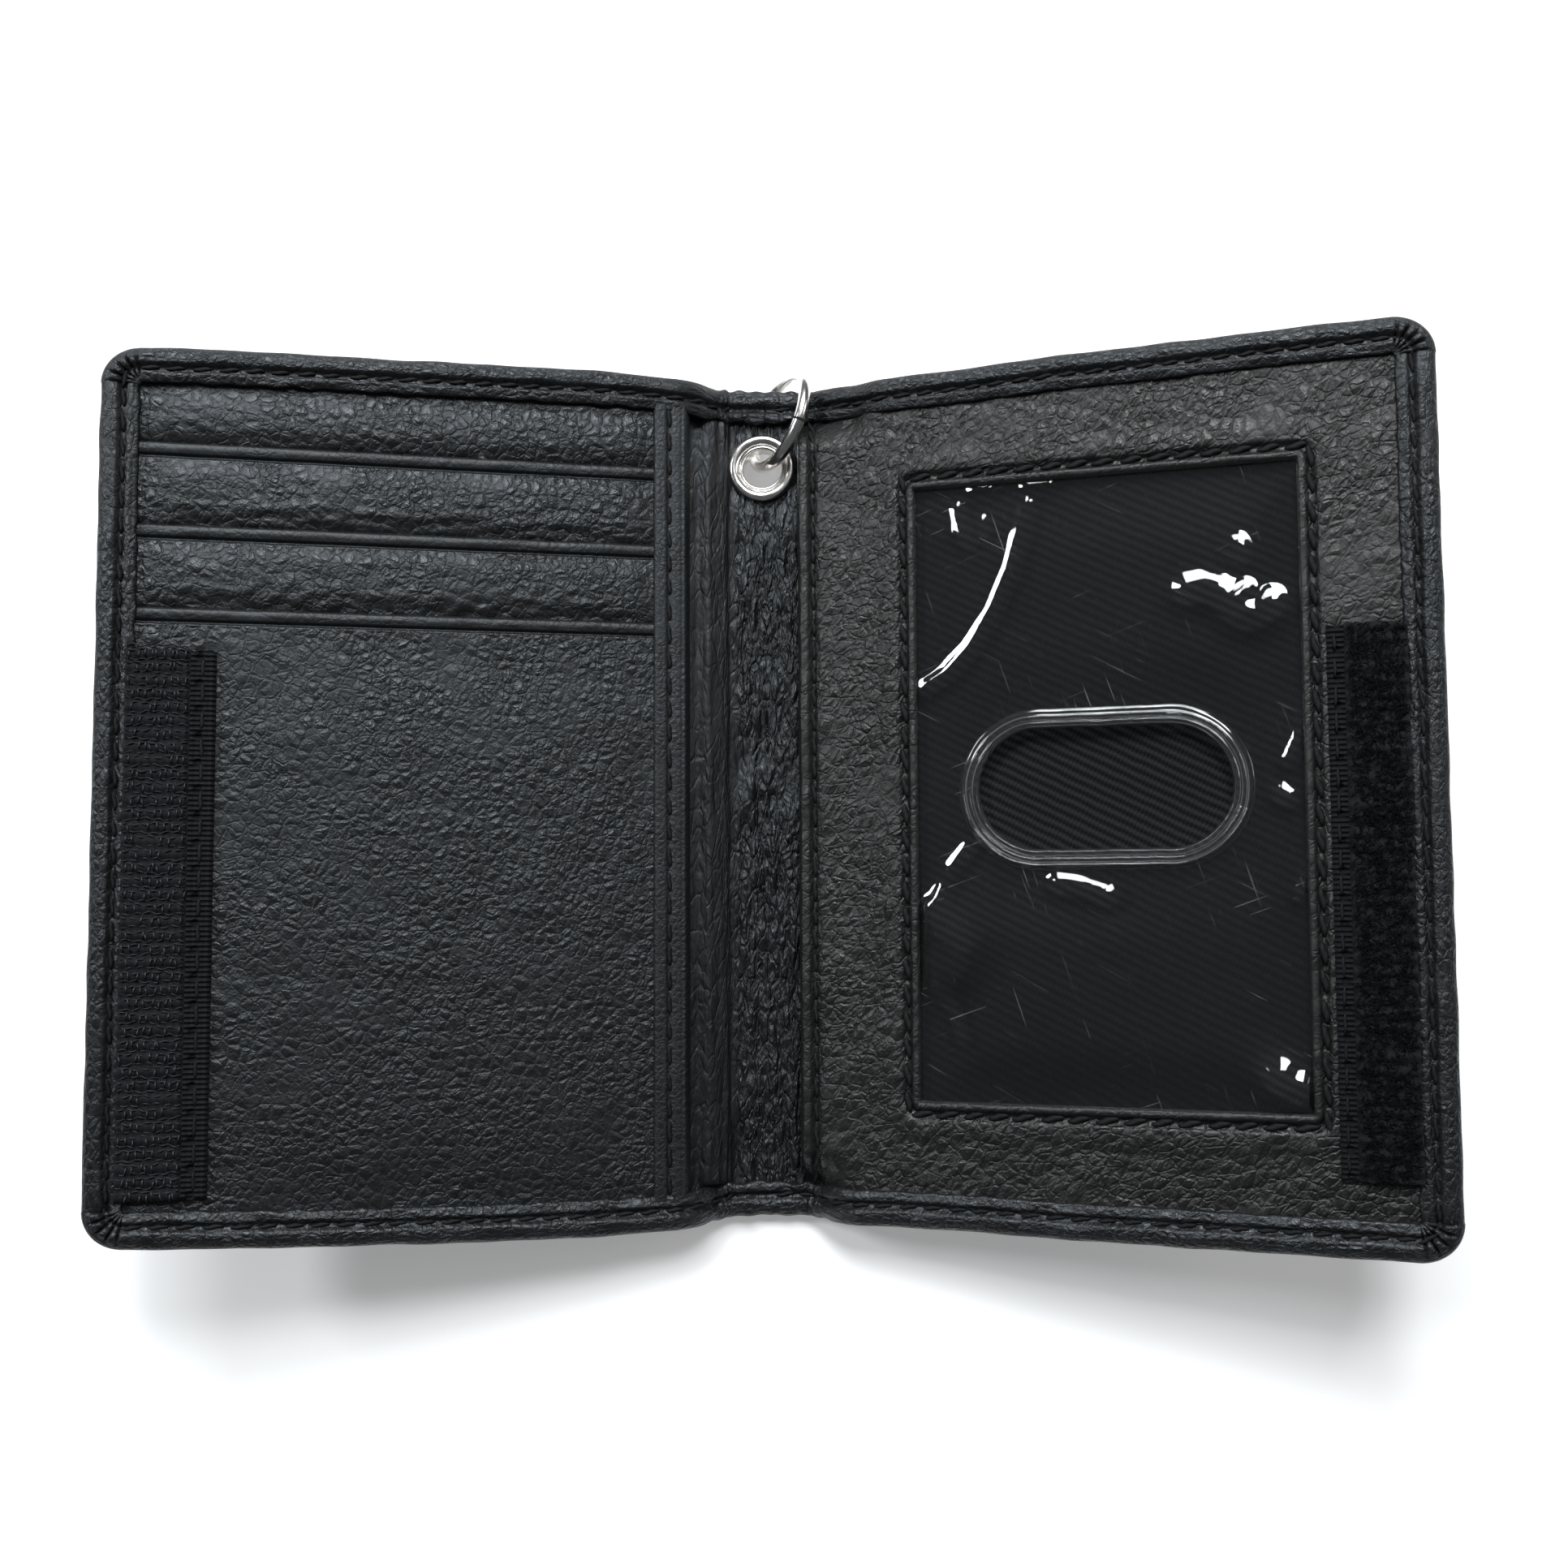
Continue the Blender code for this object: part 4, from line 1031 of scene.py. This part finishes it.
def window_stitches():
    low, high, half = WINDOW[0] - 1.65, WINDOW[1] + 1.65, WINDOW_HALF + 1.65
    corners = [(low, -half), (high, -half), (high, half), (low, half), (low, -half)]
    s, y = [], []
    for (s0, y0), (s1, y1) in zip(corners[:-1], corners[1:]):
        share = np.linspace(0, 1, 160)[:-1]
        s.append(s0 + (s1 - s0) * share)
        y.append(y0 + (y1 - y0) * share)
    s, y = np.concatenate(s), np.concatenate(y)
    path = RIGHT(s, y, frame_top(s, y) + 0.22)
    row = stitches(
        "window_stitches", path, normals_of(RIGHT, s, y), 3.35, 3.35, 0.40, 0.22, seed=9, closed=True
    )
    rides(row, "right_panel", "thread_window", slot="thread")


def window_lining():
    s_lines = lines((2.6, 74.4, 1.1))
    y_lines = lines((-54.2, 54.0, 1.1))

    def top(s, y):
        return 2.05 + 0.10 * waves(s, y, 26, 111) * smooth((s - 4) / 6)

    piece = sheet_solid("window_twill_lining", s_lines, y_lines, top, 0.3, RIGHT, twill)
    rides(piece, "right_panel", "window_lining", slot="lining_cloth")


SLOT_AT = 35.6
SLOT_REACH = 8.1
SLOT_RADIUS = 7.7
RIM = 2.6
# Creases and blisters of the clear sheet: lines of (s, y), each with a height and a width
CREASES = (
    (
        ((26.4, 37.0), (25.5, 33.8), (24.1, 28.6), (21.8, 23.4), (18.9, 18.8), (15.7, 15.5), (11.9, 13.3)),
        0.29, 0.90
    ),
    (((17.3, 37.0), (17.9, 33.8), (18.6, 33.0), (20.7, 35.0)), 0.23, 0.85),
    (((19.5, 39.4), (21.3, 39.3)), 0.30, 0.70),
    (((26.3, 39.3), (29.2, 39.3)), 0.30, 0.70),
    (((46.3, 24.6), (48.1, 24.9), (50.0, 24.2)), 0.62, 1.70),
    (((52.9, 21.2), (54.8, 20.9), (56.5, 22.2)), 0.66, 1.80),
    (((52.6, 29.6), (53.0, 29.0)), 0.45, 1.30),
    (((51.0, 22.3), (53.4, 24.1)), 0.40, 1.20),
    (((60.3, 9.2), (59.2, 5.8), (57.9, 2.9)), 0.42, 0.85),
    (((56.9, -1.0), (57.8, -1.8)), 0.46, 1.00),
    (((60.2, -9.5), (59.6, -11.4), (58.8, -13.3)), 0.42, 0.85),
    (((18.2, -7.1), (15.9, -10.0), (14.1, -13.8), (12.8, -14.9)), 0.28, 0.80),
    (((14.6, -17.0), (16.2, -19.0), (15.4, -22.0)), 0.95, 3.00),
    (((14.3, -24.5), (15.9, -27.8), (16.9, -31.4)), 0.28, 0.80),
    (((29.6, -11.8), (32.7, -12.3), (35.7, -13.4)), 0.58, 1.15),
    (((56.0, -35.6), (56.9, -36.6), (58.3, -37.0)), 1.15, 2.40),
)


def from_slot(s, y):
    """How far a point lies outside the thumb slot."""
    along = np.clip(s - SLOT_AT, -SLOT_REACH, SLOT_REACH)
    return np.hypot(s - SLOT_AT - along, y) - SLOT_RADIUS


def to_line(s, y, line):
    best = np.full(s.shape, 1e9)
    for (s0, y0), (s1, y1) in zip(line[:-1], line[1:]):
        run = (s1 - s0) ** 2 + (y1 - y0) ** 2
        t = np.clip(((s - s0) * (s1 - s0) + (y - y0) * (y1 - y0)) / run, 0, 1)
        best = np.minimum(best, np.hypot(s - s0 - t * (s1 - s0), y - y0 - t * (y1 - y0)))
    return best


def sheet_height(s, y):
    """The clear sheet: tight under the leather, slightly bulged in the opening, flat by the slot."""
    ds = np.minimum(s - WINDOW[0], WINDOW[1] - s)
    dy = WINDOW_HALF - np.abs(y)
    inside = smooth(np.minimum(ds, dy) / 9.0)
    swell = 0.28 + 0.09 * waves(s, y, 34, 121, 5)
    calm = smooth((from_slot(s, y) - RIM) / 9)
    height = 3.25 + inside * (0.12 + calm * swell)
    for line, rise, width in CREASES:
        height = height + rise * np.exp(-((to_line(s, y, line) / width) ** 2)) * smooth(ds / 1.5 + 0.4)
    return height


def clear_sheet():
    s_lines = lines((8.9, 62.7, 0.42))
    y_lines = lines((-43.3, 43.3, 0.42))

    def keep(s, y):
        return from_slot(s, y) > 0.9

    def warp(s, y):
        gap = from_slot(s, y)
        along = np.clip(s - SLOT_AT, -SLOT_REACH, SLOT_REACH)
        ds, dy = s - SLOT_AT - along, y
        grow = np.where((gap > 0.3) & (gap < 1.15), (SLOT_RADIUS + 1.0) / (gap + SLOT_RADIUS), 1.0)
        return SLOT_AT + along + ds * grow, dy * grow

    piece = sheet_solid(
        "clear_window_sheet", s_lines, y_lines, sheet_height, 0.25, RIGHT, clear, keep, warp
    )
    rides(piece, "right_panel", "clear_window", slot="clear_vinyl")


def thumb_rim():
    """The moulded rim round the thumb slot: three ridges with a flat lip outside them."""
    across = np.linspace(0, 1, 30)
    ridges = 0.30 + 0.62 * smooth(across / 0.10) * smooth((1 - across) / 0.16)
    ridges = ridges - 0.26 * bump((across - 0.36) / 0.10) - 0.22 * bump((across - 0.66) / 0.09)
    ridges = ridges - 0.42 * smooth((across - 0.80) / 0.05)
    count = 176
    straight = 2 * SLOT_REACH
    length = 2 * straight + 2 * math.pi * SLOT_RADIUS
    gone = np.arange(count) / count * length
    s, y, ns, ny = (np.zeros(count) for _ in range(4))
    for i, g in enumerate(gone):
        if g < straight:
            s[i], y[i], ns[i], ny[i] = SLOT_AT - SLOT_REACH + g, SLOT_RADIUS, 0, 1
            continue
        g -= straight
        arc = math.pi * SLOT_RADIUS
        if g < arc:
            turn = math.pi / 2 - g / SLOT_RADIUS
            ns[i], ny[i] = math.cos(turn), math.sin(turn)
            s[i], y[i] = SLOT_AT + SLOT_REACH + ns[i] * SLOT_RADIUS, ny[i] * SLOT_RADIUS
            continue
        g -= arc
        if g < straight:
            s[i], y[i], ns[i], ny[i] = SLOT_AT + SLOT_REACH - g, -SLOT_RADIUS, 0, -1
            continue
        turn = -math.pi / 2 - (g - straight) / SLOT_RADIUS
        ns[i], ny[i] = math.cos(turn), math.sin(turn)
        s[i], y[i] = SLOT_AT - SLOT_REACH + ns[i] * SLOT_RADIUS, ny[i] * SLOT_RADIUS
    ring_s, ring_y, ring_h = [], [], []
    base = sheet_height(s + ns * 1.3, y + ny * 1.3)
    for share, high in zip(across, ridges):
        wobble = 0.03 * waves(gone, 0 * gone + share * 3, 5, 131)
        ring_s.append(s + ns * (RIM * share + wobble))
        ring_y.append(y + ny * (RIM * share + wobble))
        ring_h.append(base + high)
    for share in (1.0, 0.0):
        ring_s.append(s + ns * RIM * share)
        ring_y.append(y + ny * RIM * share)
        ring_h.append(base - 0.05)
    S, Y, H = np.array(ring_s), np.array(ring_y), np.array(ring_h)
    rows = len(S)
    faces = []
    for i in range(rows):
        for j in range(count):
            a, b = (i + 1) % rows, (j + 1) % count
            faces.append([i * count + j, i * count + b, a * count + b, a * count + j])
    piece = make_mesh(
        "thumb_slot_rim", RIGHT(S, Y, H).reshape(-1, 3), faces, np.stack([S, Y, H], -1).reshape(-1, 3),
        rim_clear
    )
    rides(piece, "right_panel", slot="clear_vinyl")


# ---------------------------------------------------------------- hook and loop


def tape_base(name, side, body, material, span, y_span, node, slot, selvage, seam, first):
    s_lines = lines((span[0], span[0] + 0.4, 0.1), (span[0] + 0.4, span[1], 0.25))
    y_lines = lines((y_span[0], y_span[1], 0.22))
    base = POCKET + 0.62

    def pit(s, y):
        along = np.mod(y - first + STITCH / 2, STITCH) - STITCH / 2
        return 0.42 * np.exp(-(((s - seam) / 0.42) ** 2 + (along / 0.45) ** 2) ** 1.5)

    def top(s, y):
        height = base + edge_roll(s, span[0], 99, 0.35, 0.3) + 0.05 * waves(s, y, 5, 141)
        height = height + edge_roll(y, y_span[0], y_span[1], 0.3, 0.2)
        height = height + 0.30 * smooth((s - selvage) / 0.5)
        return height - pit(s, y) + 0.05 * np.sin(s * 2 * math.pi / 0.75) * (s < selvage)

    def warp(s, y):
        frayed = (np.abs(y - y_span[0]) < 0.01) | (np.abs(y - y_span[1]) < 0.01)
        return s, y + np.where(frayed, 0.14 * waves(s, y, 0.9, 142), 0.05 * waves(s, 0 * s, 7, 143))

    piece = sheet_solid(
        name, s_lines, y_lines, top, lambda s, y: 0.55 - pit(s, y), on_panel(side), material, warp=warp
    )
    rides(piece, body, node, slot=slot)
    return base


def tube_faces(rows, sides, start=0):
    """Faces of a tube of rows of points, from its first point's number, with both ends closed."""
    faces = []
    for i in range(rows - 1):
        for j in range(sides):
            k = (j + 1) % sides
            a = start + i * sides
            faces.append([a + j, a + k, a + sides + k, a + sides + j])
    faces.append([start + j for j in range(sides)][::-1])
    faces.append([start + (rows - 1) * sides + j for j in range(sides)])
    return faces


def strands(name, paths, radius, material, side, body, slot, sides=5):
    """Many short bent strands, from (count, steps, 3) points (s, y, h), as thin closed tubes in one mesh."""
    paths = np.asarray(paths)
    count, steps, _ = paths.shape
    run = np.gradient(paths, axis=1)
    run /= np.linalg.norm(run, axis=-1, keepdims=True) + 1e-9
    flat_way = np.cross(run, np.array((0.3, 0.2, 1.0)))
    flat_way /= np.linalg.norm(flat_way, axis=-1, keepdims=True) + 1e-9
    other = np.cross(run, flat_way)
    angle = np.linspace(0, 2 * math.pi, sides, endpoint=False)
    ring = flat_way[:, :, None] * np.cos(angle)[:, None] + other[:, :, None] * np.sin(angle)[:, None]
    points = (paths[:, :, None] + ring * radius).reshape(-1, 3)
    faces = []
    for c in range(count):
        faces += tube_faces(steps, sides, c * steps * sides)
    placed = on_panel(side)(points[:, 0], points[:, 1], points[:, 2])
    piece = make_mesh(name, placed, faces, points, material, closed=False)
    rides(piece, body, slot=slot)


def hooks(base):
    """Rows of small hooks that lean along the tape, and the weft yarns between them."""
    draw = np.random.default_rng(5)
    paths, yarns = [], []
    rows = np.arange(-49.2, 17.0, 1.65)
    for r, y in enumerate(rows):
        for c in range(9):
            s = 64.75 + 0.82 * c + (0.4 if r % 2 else 0) + draw.uniform(-0.2, 0.2)
            lean = draw.uniform(-0.45, 0.45)
            if s > 71.4 or draw.random() < 0.22:
                continue
            t = np.linspace(0, 1, 8)
            swing = math.pi * 1.15 * t
            h = base + 0.22 + 0.52 * np.sin(swing)
            along = y + 0.44 * (1 - np.cos(swing)) - 0.42 + draw.uniform(-0.26, 0.26)
            paths.append(np.stack([s + lean * t, along, h], -1))
        t = np.linspace(64.4, 71.6, 30)
        for back, phase in ((0.45, 0.0), (1.05, 2.0)):
            wander = 0.10 * np.sin(t * 4.1 + r * 2.3 + phase) + 0.13 * np.sin(t * 1.3 + r * 1.7 + phase * 2)
            yarns.append(
                np.stack([t, y + back + wander, base + 0.30 + 0.12 * np.sin(t * 5.1 + r * 2.6 + phase)], -1)
            )
    strands("hook_bristles", paths, 0.095, hook_yarn, -1, "left_panel", "hook_tape")
    strands("hook_weft_yarns", yarns, 0.11, weft_yarn, -1, "left_panel", "hook_tape")


def fuzz(base):
    """The loop side's nap: short curled fibres that lie every way."""
    draw = np.random.default_rng(6)
    count = 2600
    t = np.linspace(0, 1, 5)
    s0, y0 = draw.uniform(65.0, 71.4, count), draw.uniform(-47.1, 18.7, count)
    turn = draw.uniform(0, 2 * math.pi, count)
    length = draw.uniform(0.5, 1.3, count)
    high = draw.uniform(0.15, 0.6, count)
    curl = draw.uniform(-2.5, 2.5, count)
    angle = turn[:, None] + curl[:, None] * t
    reach = length[:, None] * t
    s = s0[:, None] + reach * np.cos(angle)
    y = y0[:, None] + reach * np.sin(angle)
    h = base + 0.22 + high[:, None] * np.sin(math.pi * (0.08 + 0.88 * t))
    paths = np.stack([np.clip(s, 64.7, 71.7), y, h], -1)
    strands("loop_nap", paths, 0.05, loop_yarn, 1, "right_panel", "loop_tape", sides=4)


# ---------------------------------------------------------------- metal


def lathe(name, profile, centre_z, steps=96):
    """A profile of (radius, height) turned about the eyelet's axis."""
    profile = np.asarray(profile)
    angle = np.linspace(0, 2 * math.pi, steps, endpoint=False)
    x = EYELET[0] + profile[:, :1] * np.cos(angle)
    y = EYELET[1] + profile[:, :1] * np.sin(angle)
    z = np.repeat(profile[:, 1:] + centre_z, steps, axis=1)
    rows = len(profile)
    faces = []
    for i in range(rows):
        for j in range(steps):
            a, b = (i + 1) % rows, (j + 1) % steps
            faces.append([i * steps + j, i * steps + b, a * steps + b, a * steps + j])
    points = world(x, y, z).reshape(-1, 3)
    piece = make_mesh(name, points, faces, points / mm, nickel)
    return piece


def eyelet():
    """The eyelet with its rolled inner lip, and the washer behind."""
    back = -AXIS_HEIGHT - SAG
    face = 2.02  # the flange's underside, above the back
    dome = []
    for t in np.linspace(0, math.pi, 22):
        dome.append((3.93 + 0.67 * math.cos(t), face + 0.10 + 0.60 * math.sin(t) ** 0.8))
    lip = [(3.18 + 0.02, face + 0.06)]
    for t in np.linspace(0, math.pi, 12):
        lip.append((2.93 + 0.23 * math.cos(t), face + 0.06 + 0.24 * math.sin(t)))
    dome += lip
    throat = [(2.68 - 0.03 * math.sin(math.pi * t), face - 0.7 * t) for t in np.linspace(0, 1, 6)]
    tail = [
        (2.65, 0.8), (2.65, -0.35), (2.75, -0.62), (3.1, -0.74), (3.5, -0.66), (3.58, -0.52), (3.1, -0.5),
        (3.0, -0.45), (3.0, face)
    ]
    barrel = lathe("eyelet_dome", [(4.6, face), *dome, *throat, *tail], back)
    rides(barrel, "spine", "eyelet_barrel", slot="nickel")
    washer = lathe(
        "eyelet_back_washer",
        [(3.1, -0.1), (4.35, -0.1), (4.5, -0.2), (4.5, -0.36), (4.3, -0.45), (3.1, -0.47)], back
    )
    rides(washer, "spine", "eyelet_washer", slot="nickel")


def ring():
    """The jump ring: round wire whose cut ends leave a fine gap, placed from the frame's own ring."""
    swing = JOINTS["ring_swing"]
    centre = np.array(swing["pos_m"])
    axle = -np.array(swing["axis"])
    held = np.array([v.co for v in frame["nodes"]["jump_ring"].data.vertices])
    _, _, ways = np.linalg.svd(held - held.mean(0), full_matrices=False)
    normal = ways[2] * np.sign(ways[2][0])
    up = np.cross(normal, axle)
    radius, wire, slit = 6.7, 0.85, math.radians(95)
    cut = 0.17 / radius  # half the gap, as an angle
    turns = slit + np.linspace(cut, 2 * math.pi - cut, 150)
    angle = np.linspace(0, 2 * math.pi, 28, endpoint=False)
    out = np.cos(turns)[:, None] * axle + np.sin(turns)[:, None] * up
    tube = wire * (np.cos(angle)[None, :, None] * out[:, None] + np.sin(angle)[None, :, None] * normal)
    points = (centre + (radius * out[:, None] + tube) * mm).reshape(-1, 3)
    faces = tube_faces(len(turns), len(angle))
    piece = make_mesh("split_jump_ring", points, faces, points / mm, nickel)
    rides(piece, "ring", "jump_ring", slot="nickel")


# ---------------------------------------------------------------- studio


# Each light's name, place in m, size in m, power in W and colour; all point at the wallet's middle
LIGHTS = (
    ("softbox_far", (-0.10, 0.68, 0.70), (0.5, 0.30), 7.5, (0.93, 0.97, 1.0)),
    ("overhead", (0.12, 0.46, 0.80), (0.30, 0.22), 4.6, (0.95, 0.98, 1.0)),
    ("window_left", (-0.60, 0.26, 0.56), (0.18, 0.13), 2.7, (0.94, 0.97, 1.0)),
    ("fill_right", (0.75, 0.25, 0.5), (0.3, 0.3), 0.8, (1.0, 0.96, 0.92)),
)
LIT_POINT = Vector((0, 0, 0.01))
WORLD_STRENGTH = 0.10
FLOOR_REACH = 8.0  # m

# The camera from the fit to the photograph: its focal length and the frame's side in pixels, its turn in
# radians about the wallet's own axes and its place from the middle of the spine in mm
FOCAL_PIXELS = 1988.46
FRAME_PIXELS = 1932
CAMERA_TURN = (0.068045, 0.043977, -0.0053053)
CAMERA_PLACE = (11.7755, -13.2144, 216.2329)
SENSOR = 36.0


def area_light(name, centre, size, power, colour):
    """A rectangular soft light that points at the wallet."""
    lamp = bpy.data.lights.new(name, "AREA")
    lamp.shape = "RECTANGLE"
    lamp.size, lamp.size_y = size
    lamp.energy = power
    lamp.color = colour
    made = bpy.data.objects.new(name, lamp)
    bpy.context.scene.collection.objects.link(made)
    made.location = centre
    made.rotation_euler = (LIT_POINT - Vector(centre)).to_track_quat("-Z", "Y").to_euler()


def studio():
    """World, lights, floor and camera."""
    scene = bpy.context.scene
    scene.view_settings.view_transform = "Standard"
    backdrop = bpy.data.worlds.new("studio")
    scene.world = backdrop
    backdrop.use_nodes = True
    light = backdrop.node_tree.nodes["Background"]
    light.inputs["Color"].default_value = (0.93, 0.96, 1.0, 1)
    light.inputs["Strength"].default_value = WORLD_STRENGTH
    for lamp in LIGHTS:
        area_light(*lamp)

    mesh = bpy.data.meshes.new("pale_floor")
    corners = [(x * FLOOR_REACH, y * FLOOR_REACH, 0) for x, y in ((-1, -1), (1, -1), (1, 1), (-1, 1))]
    mesh.from_pydata(corners, [], [[0, 1, 2, 3]])
    floor = bpy.data.objects.new("pale_floor", mesh)
    scene.collection.objects.link(floor)
    pale = Nodes("pale_floor_paint", Roughness=0.9, Specular_IOR_Level=0.1, Emission_Strength=0.25)
    cloud = pale.noise(pale.add("ShaderNodeTexCoord").outputs["Object"], 2.0)
    pale.set("Base Color", pale.mix(cloud, (0.90, 0.90, 0.90), (0.93, 0.93, 0.93)))
    pale.shader.inputs["Emission Color"].default_value = (1, 1, 1, 1)
    mesh.materials.append(pale.material)

    camera = bpy.data.objects.new("camera", bpy.data.cameras.new("camera"))
    scene.collection.objects.link(camera)
    camera.data.sensor_width = SENSOR
    camera.data.lens = FOCAL_PIXELS / FRAME_PIXELS * SENSOR
    camera.data.clip_start, camera.data.clip_end = 0.01, 20
    rx, ry, rz = CAMERA_TURN
    turn = Matrix.Rotation(rz, 4, "Z") @ Matrix.Rotation(ry, 4, "Y") @ Matrix.Rotation(rx, 4, "X")
    axes = np.stack([ACROSS, ALONG, UP], axis=1).tolist()
    wallet = Matrix([[*row, at] for row, at in zip(axes, ORIGIN)] + [[0, 0, 0, 1]])
    camera.matrix_world = wallet @ Matrix.Translation(Vector(CAMERA_PLACE) * mm) @ turn
    scene.camera = camera


for which in (-1, 1):
    cover(which)
    hem_stitches(which)
    outer_stitches(which)
    spine_lining(which)
pocket_tops()
binding()
window_lining()
clear_sheet()
thumb_rim()
window_leather()
window_stitches()
hook_base = tape_base(
    "hook_tape_base", -1, "left_panel", hook_cloth, (61.2, 71.8), (-49.9, 17.5), "hook_strip", "hook_tape",
    64.2, *HOOK_HOLES
)
hooks(hook_base)
straight_stitches(
    "hook_stitches", 62.75, -49.2, 16.9, lambda s, y: 0 * s + hook_base + 0.02, -1, "left_panel",
    ("thread_hook_strip",), pitch=3.3, length=2.7, radius=0.22, slant=0.0, seed=11
)
loop_base = tape_base(
    "loop_tape_base", 1, "right_panel", loop_cloth, (62.6, 71.8), (-47.4, 19.0), "loop_strip", "loop_tape",
    64.6, *LOOP_HOLES
)
fuzz(loop_base)
straight_stitches(
    "loop_stitches", 63.5, -46.8, 18.4, lambda s, y: 0 * s + loop_base + 0.02, 1, "right_panel",
    ("thread_loop_strip",), pitch=3.3, length=2.6, radius=0.2, slant=0.0, seed=12
)
eyelet()
ring()
studio()
